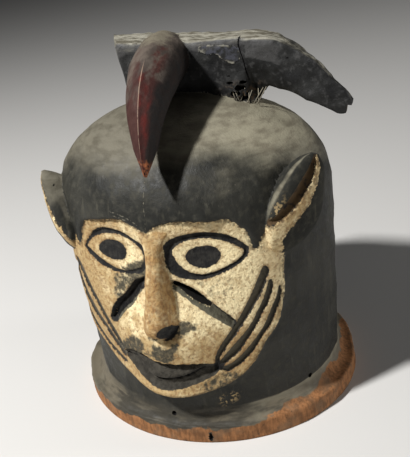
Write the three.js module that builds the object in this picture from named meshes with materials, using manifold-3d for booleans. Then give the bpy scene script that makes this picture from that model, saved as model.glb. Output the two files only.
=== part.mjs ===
// Helmet mask of carved and painted wood. One block is hollowed to go over the head: a domed
// cylinder on a flared rim, with a face in relief, leaf-shaped ears, a thick crest across the
// crown and a beak that curves from the crest over the brow. One end of the crest is a long
// drooping wing, the other end is broken off short. Units are millimetres, +Z is up, the mask
// faces -Y and +X is its own left.

import * as THREE from 'three';
import { mergeVertices } from 'three/addons/utils/BufferGeometryUtils.js';
import Module from 'manifold-3d';

const wasm = await Module();
wasm.setup();

const { clamp, lerp, smoothstep, degToRad } = THREE.MathUtils;

// Rim, wall and crown. A level section of the head is an ellipse.
const RIM = { halfWidth: 148, halfDepth: 132, centreX: -2, centreY: 0, edge: 19, top: 29 };
const NECK = { halfWidth: 128, halfDepth: 121, centreX: 0, centreY: -1 };
const TEMPLE = { halfWidth: 133, halfDepth: 118, centreY: -4, z: 203 };
const CROWN = { height: 102, shoulder: 1.6, roundness: 3.05, tilt: -0.03, lastTurn: 86 };
const HEAD_COLUMNS = 60;
const CROWN_ROWS = 10;

// Hollow for the wearer's head, open below
const CAVITY = { halfWidth: 113, halfDepth: 99, centreY: -1, wallTop: 205, top: 280 };
const CAVITY_COLUMNS = 32;
const CAVITY_ROWS = 6;
const BELOW = -10;

// Face relief: sockets sink behind the brow, and the mouth and chin stand forward. Cuts into the
// face start clear in front of it, at IN_FRONT, and end inside the wood, at FACE_BACK.
const SOCKET = { x: 42, z: 200, depth: 8, reachX: 36, reachZ: 36 };
const MUZZLE = { depth: 18, reach: 46, top: 165, full: 108 };
const IN_FRONT = -200;
const FACE_BACK = -34;
const FACE_SEAT = { depth: 8, middle: 140, share: 0.998 };
const GROOVE_DEPTH = 5;
const FACE_GRID = { halfWidth: 112, low: 48, high: 236, columns: 32, rows: 26 };

// Edge of the pale face on the +X side, as [x, z], from the point between the brows to the chin
const BROW_EDGE = [[0, 223], [20, 227], [45, 229], [68, 225], [77, 212], [84, 194], [91, 206], [99, 214]];
const CHEEK_EDGE = [[106, 196], [103, 160], [103, 142], [94, 114], [75, 88], [48, 63], [18, 56], [0, 56]];

// Eyes, slits under the eyes to look through, cheek scars and mouth, drawn on the +X half
const EYE = { inner: [8, 202], outer: [78, 195], top: 222, bottom: 168, fullness: 0.24, line: 6 };
const SLIT = { from: [15, 177], to: [61, 129], width: 8.5, openFrom: 0.08, openTo: 0.7, openWidth: 6 };
const SLIT_BACK = -60;
const SCARS = [
  [[89, 177], [72, 135], [42, 91]],
  [[92, 164], [82, 126], [45, 88]],
  [[98, 152], [89, 110], [46, 80]],
];
const SCAR_WIDTH = 5.5;
const MOUTH = { halfWidth: 44, corner: 94, upper: 108, lower: 74, depth: 6 };

// Nose: half-width and stand of each level, from under the tip to the bridge
const NOSE_LEVELS = [
  { z: 124, halfWidth: 12, front: -131 },
  { z: 129, halfWidth: 16, front: -143 },
  { z: 137, halfWidth: 16, front: -149 },
  { z: 150, halfWidth: 12.5, front: -147 },
  { z: 185, halfWidth: 9.5, front: -136.5 },
  { z: 211, halfWidth: 7.6, front: -126 },
  { z: 230, halfWidth: 5, front: -116 },
];
const NOSE = { columns: 10, rootDepth: 8, squareness: 0.7 };

// Ears: a leaf that leaves the cheek and stands clear of the crown at its tip. The carver set
// the mask's left ear a little higher than its right one.
const EARS = [
  { side: 1, base: [98, -82, 186], tip: [132, -58, 266] },
  { side: -1, base: [98, -82, 182], tip: [131, -59, 252] },
];
const EAR = {
  halfWidth: 26,
  shift: 3,
  rise: 11,
  root: 24,
  columns: 12,
  rows: 8,
};
const EAR_GROOVE = { width: 8, depth: 7, shift: 2, from: 0.08, to: 0.92, columns: 6, rows: 6 };

// Crest across the crown: front face at frontY, thick in the middle and thin at the wing's end
const CREST = {
  frontY: 4,
  thickness: 32,
  thinFrom: 70,
  endX: 135,
  endThickness: 10,
  bevel: 2,
  brokenEndX: -30,
  brokenEndSkew: 0.5,
};
const CREST_TOP = [[-61, 354], [0, 352], [24, 350], [61, 352], [81, 350], [100, 343]];
const CREST_WING = [[117, 333], [130, 320], [142, 303], [151, 289], [147, 280]];
const CREST_UNDER = [[127, 288], [106, 297], [84, 303], [77, 303], [66, 280], [-50, 280], [-52, 300]];
const CREST_CURVE_STEPS = 20;
const WING_RIDGE = { from: [63, 334], to: [114, 300], slope: 12, size: 90, reach: 60 };

// Beak: runs forward from the crest and bends down to a point clear of the forehead
const BEAK_SPINE = [[-19, 20, 334.7], [-1, -53.3, 346], [3, -101.3, 318.5], [11.7, -130, 275.8]];
const BEAK = {
  halfWidth: 24.5,
  ridge: 25.3,
  under: 25.8,
  taper: 0.97,
  fullness: 2.23,
  sharpness: 1.2,
  columns: 12,
  rows: 12,
};

// Tie holes near the rim, as [degrees round from the front, height], and a broken spot on the rim
const TIE_HOLES = [[-3.5, 27], [61, 36]];
const TIE_HOLE = { radius: 2.4, length: 60, from: -125, columns: 8 };
const RIM_BREAK = { place: [136, 44, 31], size: [9, 18, 8] };

const BLACKENED_WOOD = 0x2b2925;

function solidOf(geometry) {
  geometry.deleteAttribute('normal');
  geometry.deleteAttribute('uv');
  const merged = mergeVertices(geometry, 1e-3);
  const mesh = new wasm.Mesh({
    numProp: 3,
    vertProperties: new Float32Array(merged.attributes.position.array),
    triVerts: new Uint32Array(merged.index.array),
  });
  return new wasm.Manifold(mesh);
}

function geometryOf(solid) {
  const mesh = solid.getMesh();
  const geometry = new THREE.BufferGeometry();
  geometry.setAttribute('position', new THREE.BufferAttribute(mesh.vertProperties, 3));
  geometry.setIndex(new THREE.BufferAttribute(mesh.triVerts, 1));
  return geometry;
}

// A closed body with its ends capped. place(angle, row, share) gives a point of its skin: the
// angle starts at the front, rows count up from the bottom, and share is 0 at a cap's centre.
function loft(columns, rows, place) {
  const geometry = new THREE.CylinderGeometry(1, 1, 1, columns, rows);
  const position = geometry.attributes.position;
  const point = new THREE.Vector3();
  for (let i = 0; i < position.count; i += 1) {
    point.fromBufferAttribute(position, i);
    const share = Math.hypot(point.x, point.z);
    const angle = share > 0.5 ? Math.atan2(point.x, point.z) : 0;
    const row = Math.round((point.y + 0.5) * rows);
    position.setXYZ(i, ...place(angle, row, Math.round(share)));
  }
  return solidOf(geometry);
}

// An upright outline of [x, z] points pushed through along Y
function prism(outline, backY, frontY) {
  const shape = new THREE.Shape(outline.map(([x, z]) => new THREE.Vector2(x, z)));
  const geometry = new THREE.ExtrudeGeometry(shape, { depth: backY - frontY, bevelEnabled: false });
  geometry.rotateX(Math.PI / 2);
  geometry.translate(0, backY, 0);
  return solidOf(geometry);
}

function mirrorX(outline) {
  return outline.map(([x, z]) => [-x, z]).reverse();
}

function quadratic(a, b, c, steps) {
  const curve = new THREE.QuadraticBezierCurve(
    new THREE.Vector2(...a), new THREE.Vector2(...b), new THREE.Vector2(...c));
  return curve.getPoints(steps);
}

// A band of even width along a row of points, narrowed to blunt ends
function band(points, width) {
  const left = [];
  const right = [];
  points.forEach((point, i) => {
    const ahead = points[Math.min(i + 1, points.length - 1)];
    const behind = points[Math.max(i - 1, 0)];
    const along = new THREE.Vector2().subVectors(ahead, behind).normalize();
    const end = i === 0 || i === points.length - 1;
    const reach = end ? width * 0.3 : width / 2;
    left.push([point.x - along.y * reach, point.y + along.x * reach]);
    right.unshift([point.x + along.y * reach, point.y - along.x * reach]);
  });
  return [...left, ...right];
}

// Head

// How high a crown has risen, as a share of its height, once it has turned by angle
function crownRise(angle) {
  return Math.sin(angle) ** (2 / CROWN.roundness);
}

// Share of its full width that a crown still has at that rise
function crownShare(rise) {
  return Math.max(0, 1 - rise ** CROWN.roundness) ** (1 / CROWN.shoulder);
}

function headSection(z) {
  const up = clamp((z - RIM.top) / (TEMPLE.z - RIM.top), 0, 1);
  const share = crownShare(Math.max(0, (z - TEMPLE.z) / CROWN.height));
  return {
    z,
    halfWidth: share * lerp(NECK.halfWidth, TEMPLE.halfWidth, up),
    halfDepth: share * lerp(NECK.halfDepth, TEMPLE.halfDepth, up),
    centreX: NECK.centreX,
    centreY: lerp(NECK.centreY, TEMPLE.centreY, up),
  };
}

function headStations() {
  const stations = [{ ...RIM, z: 0 }, { ...RIM, z: RIM.edge }];
  for (const z of [RIM.top, (RIM.top + TEMPLE.z) / 2]) {
    stations.push(headSection(z));
  }
  for (let i = 0; i <= CROWN_ROWS; i += 1) {
    const rise = crownRise((i / CROWN_ROWS) * degToRad(CROWN.lastTurn));
    stations.push(headSection(TEMPLE.z + CROWN.height * rise));
  }
  return stations;
}

function makeHead() {
  const stations = headStations();
  return loft(HEAD_COLUMNS, stations.length - 1, (angle, row, share) => {
    const { z, halfWidth, halfDepth, centreX, centreY } = stations[row];
    const x = centreX + share * halfWidth * Math.sin(angle);
    const y = centreY - share * halfDepth * Math.cos(angle);
    const crowned = clamp((z - TEMPLE.z) / CROWN.height, 0, 1);
    return [x, y, z + CROWN.tilt * x * crowned];
  });
}

function makeCavity() {
  const stations = [{ z: BELOW, share: 1 }, { z: CAVITY.wallTop, share: 1 }];
  for (let i = 1; i <= CAVITY_ROWS; i += 1) {
    const rise = crownRise((i / CAVITY_ROWS) * degToRad(CROWN.lastTurn));
    stations.push({ z: lerp(CAVITY.wallTop, CAVITY.top, rise), share: crownShare(rise) });
  }
  return loft(CAVITY_COLUMNS, stations.length - 1, (angle, row, share) => {
    const reach = share * stations[row].share;
    return [
      reach * CAVITY.halfWidth * Math.sin(angle),
      CAVITY.centreY - reach * CAVITY.halfDepth * Math.cos(angle),
      stations[row].z,
    ];
  });
}

// Face

function bell(value) {
  return Math.exp(-value * value);
}

// Y of the face's surface at (x, z)
function faceFront(x, z) {
  const { halfWidth, halfDepth, centreY } = headSection(z);
  const round = Math.sqrt(Math.max(0, 1 - (x / halfWidth) ** 2));
  const beside = (Math.abs(x) - SOCKET.x) / SOCKET.reachX;
  const socket = SOCKET.depth * bell(beside) * bell((z - SOCKET.z) / SOCKET.reachZ);
  const low = 1 - smoothstep(z, MUZZLE.full, MUZZLE.top);
  const muzzle = MUZZLE.depth * bell(x / MUZZLE.reach) * low;
  return centreY - halfDepth * round + socket - muzzle;
}

// A block whose front is the face's surface, moved back by depth
function faceBlock(depth) {
  const { halfWidth, low, high, columns, rows } = FACE_GRID;
  const geometry = new THREE.BoxGeometry(2 * halfWidth, 2, high - low, columns, 1, rows);
  geometry.translate(0, 0, (low + high) / 2);
  const position = geometry.attributes.position;
  for (let i = 0; i < position.count; i += 1) {
    const front = position.getY(i) < 0;
    const y = front ? faceFront(position.getX(i), position.getZ(i)) : FACE_BACK;
    position.setY(i, y + depth);
  }
  return solidOf(geometry);
}

// An eye's outline. Its corners and the handles of its lids move in by more than the inset, and
// that leaves a line of even width between two outlines.
function almond(inset) {
  const move = 1.3 * inset;
  const inner = [EYE.inner[0] + move, EYE.inner[1]];
  const outer = [EYE.outer[0] - move, EYE.outer[1]];
  const lid = (from, to, z) => {
    const handle = (to[0] - from[0]) * EYE.fullness;
    const curve = new THREE.CubicBezierCurve(
      new THREE.Vector2(...from), new THREE.Vector2(from[0] + handle, z),
      new THREE.Vector2(to[0] - handle, z), new THREE.Vector2(...to));
    return curve.getPoints(10);
  };
  const upper = lid(inner, outer, EYE.top - move);
  const lower = lid(outer, inner, EYE.bottom + move);
  return [...upper, ...lower.slice(1, -1)].map(({ x, y }) => [x, y]);
}

function faceCut(outline) {
  return prism(outline, FACE_BACK, IN_FRONT);
}

function makeGrooves() {
  const strokes = SCARS.map(([from, bend, to]) => band(quadratic(from, bend, to, 9), SCAR_WIDTH));
  strokes.push(band([new THREE.Vector2(...SLIT.from), new THREE.Vector2(...SLIT.to)], SLIT.width));
  const [left, right] = [(outline) => outline, mirrorX].map((place) => {
    const ring = faceCut(place(almond(0))).subtract(faceCut(place(almond(EYE.line))));
    return strokes.reduce((all, stroke) => all.add(faceCut(place(stroke))), ring);
  });
  return left.add(right);
}

function makeMouth() {
  const { halfWidth, corner, upper, lower } = MOUTH;
  const top = quadratic([-halfWidth, corner], [0, upper], [halfWidth, corner], 10);
  const bottom = quadratic([halfWidth, corner], [0, lower], [-halfWidth, corner], 10);
  return faceCut([...top, ...bottom.slice(1, -1)].map(({ x, y }) => [x, y]));
}

function makeNose() {
  const squared = (value) => Math.sign(value) * Math.abs(value) ** NOSE.squareness;
  return loft(NOSE.columns, NOSE_LEVELS.length - 1, (angle, row, share) => {
    const { z, halfWidth, front } = NOSE_LEVELS[row];
    const back = faceFront(0, z) + NOSE.rootDepth;
    return [
      share * halfWidth * squared(Math.sin(angle)),
      (front + back) / 2 - share * ((back - front) / 2) * squared(Math.cos(angle)),
      z,
    ];
  });
}

function slitOpening(side) {
  const from = new THREE.Vector2(...SLIT.from);
  const to = new THREE.Vector2(...SLIT.to);
  const ends = [from.clone().lerp(to, SLIT.openFrom), from.clone().lerp(to, SLIT.openTo)];
  const outline = band(ends, SLIT.openWidth);
  return prism(side < 0 ? mirrorX(outline) : outline, SLIT_BACK, IN_FRONT);
}

function faceOutline() {
  const cheek = new THREE.SplineCurve(CHEEK_EDGE.map(([x, z]) => new THREE.Vector2(x, z)));
  const half = [...BROW_EDGE, ...cheek.getPoints(18).map(({ x, y }) => [x, y])];
  const other = mirrorX(half).slice(1, -1);
  return [...half, ...other];
}

// The face is set in a seat cut a little smaller than its outline, so that it laps over the edge
function carveFace(head) {
  const outline = faceOutline();
  const { depth, middle, share } = FACE_SEAT;
  const seat = outline.map(([x, z]) => [x * share, lerp(middle, z, share)]);
  const face = faceBlock(0)
    .subtract(makeGrooves().subtract(faceBlock(GROOVE_DEPTH)))
    .subtract(makeMouth().subtract(faceBlock(MOUTH.depth)))
    .intersect(faceCut(outline));
  return head.subtract(prism(seat, FACE_BACK - depth, IN_FRONT)).add(face).add(makeNose());
}

// Ears

function earFrame(ear) {
  const base = new THREE.Vector3(ear.side * ear.base[0], ear.base[1], ear.base[2]);
  const tip = new THREE.Vector3(ear.side * ear.tip[0], ear.tip[1], ear.tip[2]);
  const along = new THREE.Vector3().subVectors(tip, base).normalize();
  const outward = new THREE.Vector3(base.x, base.y, 0).normalize();
  outward.addScaledVector(along, -outward.dot(along)).normalize();
  const across = new THREE.Vector3().crossVectors(along, outward);
  return { base, tip, outward, across };
}

// Share of a leaf's full width at t, which runs from its root at 0 to its tip at 1
function leafWidth(t) {
  const turn = Math.PI * Math.min(0.99, 0.04 + 0.96 * t) ** 0.85;
  return Math.sin(turn) ** 0.85;
}

function makeEar(ear) {
  const { base, tip, outward, across } = earFrame(ear);
  const leaf = loft(EAR.columns, EAR.rows, (angle, row, share) => {
    const t = row / EAR.rows;
    const width = leafWidth(t);
    const ahead = Math.cos(angle);
    const stand = ahead > 0 ? EAR.rise * Math.max(0.15, width) : EAR.root * (1 - t ** 6) + 2;
    const sideways = EAR.shift * ear.side * width + share * EAR.halfWidth * width * Math.sin(angle);
    return new THREE.Vector3().lerpVectors(base, tip, t)
      .addScaledVector(outward, share * stand * ahead)
      .addScaledVector(across, sideways);
  });
  return leaf.subtract(earGroove(ear));
}

function earGroove(ear) {
  const { base, tip, outward, across } = earFrame(ear);
  const { width, depth, shift, from, to, columns, rows } = EAR_GROOVE;
  return loft(columns, rows, (angle, row, share) => {
    const t = row / rows;
    const reach = share * width * (0.15 + 0.5 * Math.sin(Math.PI * lerp(0.1, 0.9, t)));
    return new THREE.Vector3().lerpVectors(base, tip, lerp(from, to, t))
      .addScaledVector(outward, EAR.rise + share * depth * Math.cos(angle))
      .addScaledVector(across, ear.side * shift + reach * Math.sin(angle));
  });
}

// Crest and beak

function makeCrest() {
  const points = (pairs) => pairs.map(([x, z]) => new THREE.Vector2(x, z));
  const upper = new THREE.SplineCurve(points([...CREST_TOP, ...CREST_WING]));
  const shape = new THREE.Shape([...upper.getPoints(CREST_CURVE_STEPS), ...points(CREST_UNDER)]);
  const { bevel, frontY, thickness, thinFrom, endX, endThickness, brokenEndX, brokenEndSkew } = CREST;
  const geometry = new THREE.ExtrudeGeometry(shape, {
    depth: 1 - 2 * bevel / thickness,
    bevelThickness: bevel / thickness,
    bevelSize: bevel,
    bevelOffset: -bevel,
    bevelSegments: 1,
  });
  geometry.translate(0, 0, bevel / thickness);
  geometry.rotateX(Math.PI / 2);
  const position = geometry.attributes.position;
  for (let i = 0; i < position.count; i += 1) {
    const thin = smoothstep(position.getX(i), thinFrom, endX);
    const depth = lerp(thickness, endThickness, thin);
    const back = (1 + position.getY(i)) * depth;
    position.setY(i, frontY + back);
    if (position.getX(i) < brokenEndX) {
      position.setX(i, position.getX(i) - back * brokenEndSkew);
    }
  }
  return solidOf(geometry).subtract(wingFacet());
}

// The slice that leaves the wing's lower front sloping back under its ridge, from the crack on
function wingFacet() {
  const { from, to, slope, size, reach } = WING_RIDGE;
  const geometry = new THREE.BoxGeometry(2 * size, size, size);
  geometry.translate(0, -size / 2, -size / 2);
  geometry.rotateX(degToRad(slope));
  geometry.rotateY(-Math.atan2(to[1] - from[1], to[0] - from[0]));
  geometry.translate(from[0], CREST.frontY, from[1]);
  const wing = new THREE.BoxGeometry(size, 2 * reach, 2 * size);
  wing.translate(from[0] + size / 2, 0, from[1]);
  return solidOf(geometry).intersect(solidOf(wing));
}

function makeBeak() {
  const spine = new THREE.CubicBezierCurve3(...BEAK_SPINE.map((point) => new THREE.Vector3(...point)));
  const { halfWidth, ridge, under, taper, fullness, sharpness, columns, rows } = BEAK;
  const sideways = new THREE.Vector3(1, 0, 0);
  return loft(columns, rows, (angle, row, share) => {
    const t = row / rows;
    const along = spine.getTangent(t);
    const down = new THREE.Vector3().crossVectors(sideways, along).normalize();
    const side = new THREE.Vector3().crossVectors(along, down).normalize();
    const size = share * (1 - taper * t ** fullness);
    const lean = Math.sin(angle);
    const below = Math.cos(angle);
    const width = size * halfWidth * Math.sign(lean) * Math.abs(lean) ** sharpness;
    const height = size * below * (below > 0 ? under : ridge);
    return spine.getPoint(t).addScaledVector(side, width).addScaledVector(down, height);
  });
}

// Small cuts

function tieHole([degrees, z]) {
  const { radius, length, from, columns } = TIE_HOLE;
  const geometry = new THREE.CylinderGeometry(radius, radius, length, columns);
  geometry.translate(0, from, 0);
  geometry.rotateZ(degToRad(degrees));
  geometry.translate(0, 0, z);
  return solidOf(geometry);
}

function rimBreak() {
  const geometry = new THREE.IcosahedronGeometry(1, 1);
  geometry.scale(...RIM_BREAK.size);
  geometry.translate(...RIM_BREAK.place);
  return solidOf(geometry);
}

function makeMask() {
  let mask = carveFace(makeHead());
  mask = mask.add(makeCrest()).add(makeBeak());
  for (const ear of EARS) {
    mask = mask.add(makeEar(ear)).subtract(slitOpening(ear.side));
  }
  mask = mask.subtract(makeCavity()).subtract(rimBreak());
  for (const hole of TIE_HOLES) {
    mask = mask.subtract(tieHole(hole));
  }
  return mask;
}

const geometry = geometryOf(makeMask());
const box = new THREE.Box3().setFromBufferAttribute(geometry.attributes.position);
geometry.translate(-(box.min.x + box.max.x) / 2, -(box.min.y + box.max.y) / 2, 0);

const wood = new THREE.MeshStandardMaterial({ color: BLACKENED_WOOD, roughness: 0.7, metalness: 0 });
const mask = new THREE.Mesh(geometry, wood);
mask.name = 'helmet_mask';

const model = new THREE.Group();
model.add(mask);

export default model;
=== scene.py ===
"""A helmet mask carved from one piece of wood, blackened, with a clay-white face."""

import math

import bmesh
import bpy
import numpy as np
from mathutils import Matrix, Vector
from mathutils.kdtree import KDTree


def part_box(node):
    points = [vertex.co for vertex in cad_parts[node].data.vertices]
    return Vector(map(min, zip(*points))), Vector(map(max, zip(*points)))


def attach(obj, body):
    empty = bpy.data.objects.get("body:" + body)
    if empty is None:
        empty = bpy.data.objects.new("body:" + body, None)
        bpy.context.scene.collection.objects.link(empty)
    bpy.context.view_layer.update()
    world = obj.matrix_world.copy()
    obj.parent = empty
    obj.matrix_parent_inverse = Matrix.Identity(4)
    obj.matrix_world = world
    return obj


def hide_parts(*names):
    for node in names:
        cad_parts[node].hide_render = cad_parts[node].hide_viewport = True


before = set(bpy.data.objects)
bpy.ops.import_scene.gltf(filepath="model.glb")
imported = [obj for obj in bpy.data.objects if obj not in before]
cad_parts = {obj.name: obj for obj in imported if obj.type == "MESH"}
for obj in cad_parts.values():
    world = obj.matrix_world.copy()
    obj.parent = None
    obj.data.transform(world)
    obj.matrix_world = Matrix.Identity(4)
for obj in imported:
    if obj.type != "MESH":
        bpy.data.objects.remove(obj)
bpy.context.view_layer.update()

# The carving is laid out in millimetres from the middle of the neck, on the ground: x to the
# viewer's right, y away from the face and z up. SHIFT brings that to the frame of the part.
FAR_LEFT = -150
FAR_BACK = 132
low_corner, high_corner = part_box("helmet_mask")
SHIFT = np.array([low_corner.x * 1000 - FAR_LEFT, high_corner.y * 1000 - FAR_BACK, 0])

# Rim, neck, temple, crown and hollow: half widths and half depths of their ellipses, and heights.
# The hollow's dome springs from wall_top, and the first row of the wall under it is at wall_start.
RIM = {"half_width": 148, "half_depth": 132, "centre_x": -2, "edge": 19, "top": 29}
NECK = {"half_width": 128, "half_depth": 121, "centre_y": -1}
TEMPLE = {"half_width": 133, "half_depth": 118, "centre_y": -4, "z": 203}
CROWN = {"height": 102, "shoulder": 1.6, "roundness": 3.05, "tilt": -0.03}
HOLLOW = {"half_width": 113, "half_depth": 99, "centre_y": -1, "wall_start": 190, "wall_top": 205,
          "top": 280}
# The rim's upright edge, as a height and how far in from the rim's full width it lies there
RIM_EDGE = [(0, 0.8), (0.8, 0.2), (2.5, 0), (5.5, 0), (9, 0), (12.5, 0), (16, 0), (18, 0.3)]
# The last row of a dome lies a little short of its top
LAST_TURN = math.radians(88)
# How much wider than deep the head is taken to be for the direction straight out of its skin
HEAD_BREADTH = 1.05

# Rows of points in each stretch of the head, from the hollow's dome to the crown
ROWS = {"hollow_top": 16, "wall": 11, "under": 6, "rim_top": 14, "neck": 5, "face": 136, "crown": 39}
# The columns stand closest in front: this turn round the tube comes to this angle round the head
HEAD_COLUMNS = 300
FRONT_TURN = math.radians(112.5)
FRONT_ANGLE = math.radians(62)
# The face is cut up to this angle round the head, between these heights
FACE_ANGLE = math.radians(64)
FACE_LOW = 44
FACE_HIGH = 240

# The face, seen from the front as x and z: its hollows and its muzzle, the outline of its clay, and
# the ring, white and pupil of each eye
SOCKET = {"x": 42, "z": 200, "depth": 8, "reach_x": 36, "reach_z": 36}
MUZZLE = {"depth": 18, "reach": 46, "top": 165, "full": 108}
BROW_RIGHT = [(-3, 219.5), (2, 223.6), (13, 227.6), (26, 229.2), (41, 227.5), (54, 226.5), (66, 226.5),
              (73, 219), (79, 212), (80.5, 203), (82, 196), (85.5, 195), (89, 204), (95, 212),
              (101, 217), (106, 214)]
CHEEK_RIGHT = [(107, 196), (104, 186), (103, 177), (101.5, 163), (101.5, 151), (100, 142), (98, 131),
               (95.5, 120), (92, 112), (87.5, 106), (83, 100.5), (79, 92.5), (74.5, 84.5), (69, 78.5),
               (63.5, 73), (50.5, 66), (41, 64), (30, 62.5), (18, 61.8), (8, 62), (-2, 62.6)]
BROW_LEFT = [(-11, 223.5), (-20, 227), (-28, 229.5), (-40, 228.5), (-49, 226), (-60, 224), (-70, 221),
             (-77, 212), (-80, 204), (-84, 195), (-88, 193), (-92, 202), (-98, 212), (-105, 214)]
CHEEK_LEFT = [(-107, 196), (-108, 180), (-110, 165), (-111, 150), (-111, 135), (-110, 120),
              (-106, 106), (-99, 95), (-90, 90.5), (-79, 86.5), (-69, 81.5), (-60, 77), (-51, 74),
              (-41, 71), (-30, 67), (-15, 63.5)]
RING_RIGHT = [(8, 203), (13, 210.4), (23, 215), (40, 216.8), (55, 214.8), (67, 209.4), (75, 202),
              (79, 195), (74, 187), (63, 180), (50, 175), (39, 173), (25, 175), (14, 181), (9, 191)]
WHITE_RIGHT = [(17, 202.6), (26, 208.4), (38, 210.6), (50, 209.2), (62, 204.6), (70.5, 199), (74.5, 194.5),
               (70, 188.5), (60, 183), (49, 179), (38, 178), (29, 181), (21.5, 188), (17.5, 196)]
PUPIL_RIGHT = [(27, 197), (33, 202), (42, 203.5), (51, 201.5), (56, 194.5), (52, 187), (42, 183),
               (33, 186), (28, 191)]
RING_LEFT = [(-78, 195), (-70, 205), (-62, 213), (-49, 218), (-30, 217), (-18, 212), (-8, 205),
             (-7, 193), (-10, 184), (-18, 179), (-35, 176), (-53, 177), (-66, 182), (-76, 190)]
WHITE_LEFT = [(-74.5, 195), (-65, 205), (-48, 212), (-30, 212.5), (-17, 207), (-11, 200), (-11, 191),
              (-18, 184), (-34, 179), (-48, 180.5), (-62, 186.5), (-71, 192)]
PUPIL_LEFT = [(-60, 197), (-51, 205), (-36, 206.5), (-29, 201), (-30, 192), (-39, 187.5),
              (-51, 188), (-59, 192)]
EYES = ((RING_RIGHT, WHITE_RIGHT, PUPIL_RIGHT), (RING_LEFT, WHITE_LEFT, PUPIL_LEFT))
RING_DEPTH = 2.2
# The white of an eye is sunk beside its ring, by this depth times what is left of the share
WHITE_EDGE = {"depth": 2.6, "share": 0.1, "reach": 15}
# The grooves cut into the cheeks, down to the corners of the mouth
SCARS = [
    [(42.6, 95.7), (46, 105), (50.6, 112.4), (56.5, 120.3), (62.3, 128.1), (67.8, 137.3), (73.4, 147.5),
     (79, 158.9), (83.5, 169.2), (87.6, 177.2), (91.1, 173.5), (91.1, 168.7), (87.7, 159.3), (84.3, 151),
     (78.4, 141), (71.4, 130), (65.4, 120.9), (58.5, 112.1), (51.5, 103), (48, 97.6), (44.7, 89.5)],
    [(45.3, 90.6), (49.8, 96.9), (55.2, 102.9), (62.6, 110.5), (68.8, 117.1), (75.2, 126.1),
     (79.7, 135.5), (84.1, 143.7), (87.6, 153.3), (90.6, 162.3), (93.1, 160), (93.4, 155.6),
     (91.1, 146.7), (88.3, 139.4), (84.1, 132.5), (79.6, 123), (75.2, 115.9), (69.8, 107.7),
     (63.2, 98.4), (56.5, 93), (48.9, 88.6)],
    [(46.7, 85.4), (55.5, 88.1), (63.7, 94.2), (71.1, 101.9), (77.4, 109.7), (82.8, 117.7),
     (87.2, 127.2), (91.2, 136.7), (94.5, 143.8), (97, 153.7), (98.6, 151.6), (98.2, 143),
     (96, 135.3), (92.7, 126.9), (87.6, 115.3), (83, 109.7), (78.6, 102.5), (73.2, 94.3),
     (66.8, 87.5), (59.7, 82.3), (50.8, 79.7)],
    [(-104, 170), (-100.7, 161.6), (-95.6, 156), (-91.4, 150.3), (-86.4, 142.8), (-80, 135),
     (-73.7, 126.4), (-67.9, 118.6), (-61.8, 112), (-57, 106.4), (-53.5, 101.5), (-48, 96),
     (-45.5, 99.5), (-48.3, 106), (-51.3, 110.9), (-56, 116.6), (-62.1, 122.8), (-67.8, 130.4),
     (-73.9, 139.5), (-79.6, 147.5), (-84, 155.2), (-87.3, 162), (-91.1, 168.4), (-97, 173)],
    [(-111, 160), (-109.5, 148), (-107, 138), (-101, 129), (-94, 122.5), (-86, 116), (-77, 111.3),
     (-68.5, 105.5), (-60.9, 98.8), (-53.4, 92.2), (-47, 88.5), (-45, 93), (-48, 97), (-55.3, 103.4),
     (-62.6, 110.3), (-70.4, 116.6), (-78.4, 122.5), (-85.5, 130.2), (-92, 138.3), (-96.8, 147),
     (-99.5, 156), (-102.5, 165)],
    [(-110, 118), (-103.5, 104), (-94.5, 98), (-84, 93.6), (-74.2, 89), (-64.8, 85.3), (-54.7, 81.7),
     (-48, 80.5), (-45.5, 84.5), (-50, 85.8), (-59.7, 89.3), (-68.6, 93.2), (-77.2, 98.2),
     (-86.2, 103.4), (-93, 108.4), (-99.5, 114.5), (-105, 124)],
]
SCAR_DEPTH = 3.2
# How far the black in a scar stays back from its edge
SCAR_INSET = 0.2
# The slits under the eyes: the upper and lower edge of each groove, its depth, how far its dark
# wall comes down, and the hole as places along it with its width there
SLITS = [
    {"upper": [(9, 175), (15, 173.3), (18, 173.2), (31.5, 165), (45.2, 151.4), (51, 144.9), (57, 138),
               (63, 130)],
     "lower": [(9, 169.5), (14.5, 166), (24.2, 157.4), (37, 146), (49, 135.1), (60.2, 123.4)],
     "depth": 6, "dark": 2.3,
     "hole": [(13, 171.5, 2.6), (19, 169.2, 4.6), (27, 162.6, 6), (34.5, 156.2, 6), (41, 151, 5.4),
              (44.4, 148.2, 4.8)]},
    {"upper": [(-11, 178), (-17, 174.6), (-24, 170.5), (-35, 157.5), (-46, 148), (-53.4, 138),
               (-58.5, 126)],
     "lower": [(-12, 169), (-20, 159.5), (-27.5, 148.7), (-36.2, 141.4), (-48.5, 127.5), (-56, 124)],
     "depth": 6, "dark": 9.5,
     "hole": [(-13, 173.5, 4), (-20, 166, 6), (-29, 155.5, 7.5), (-38, 146.8, 8), (-46, 138, 7),
              (-53, 130.5, 4)]},
]
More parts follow.
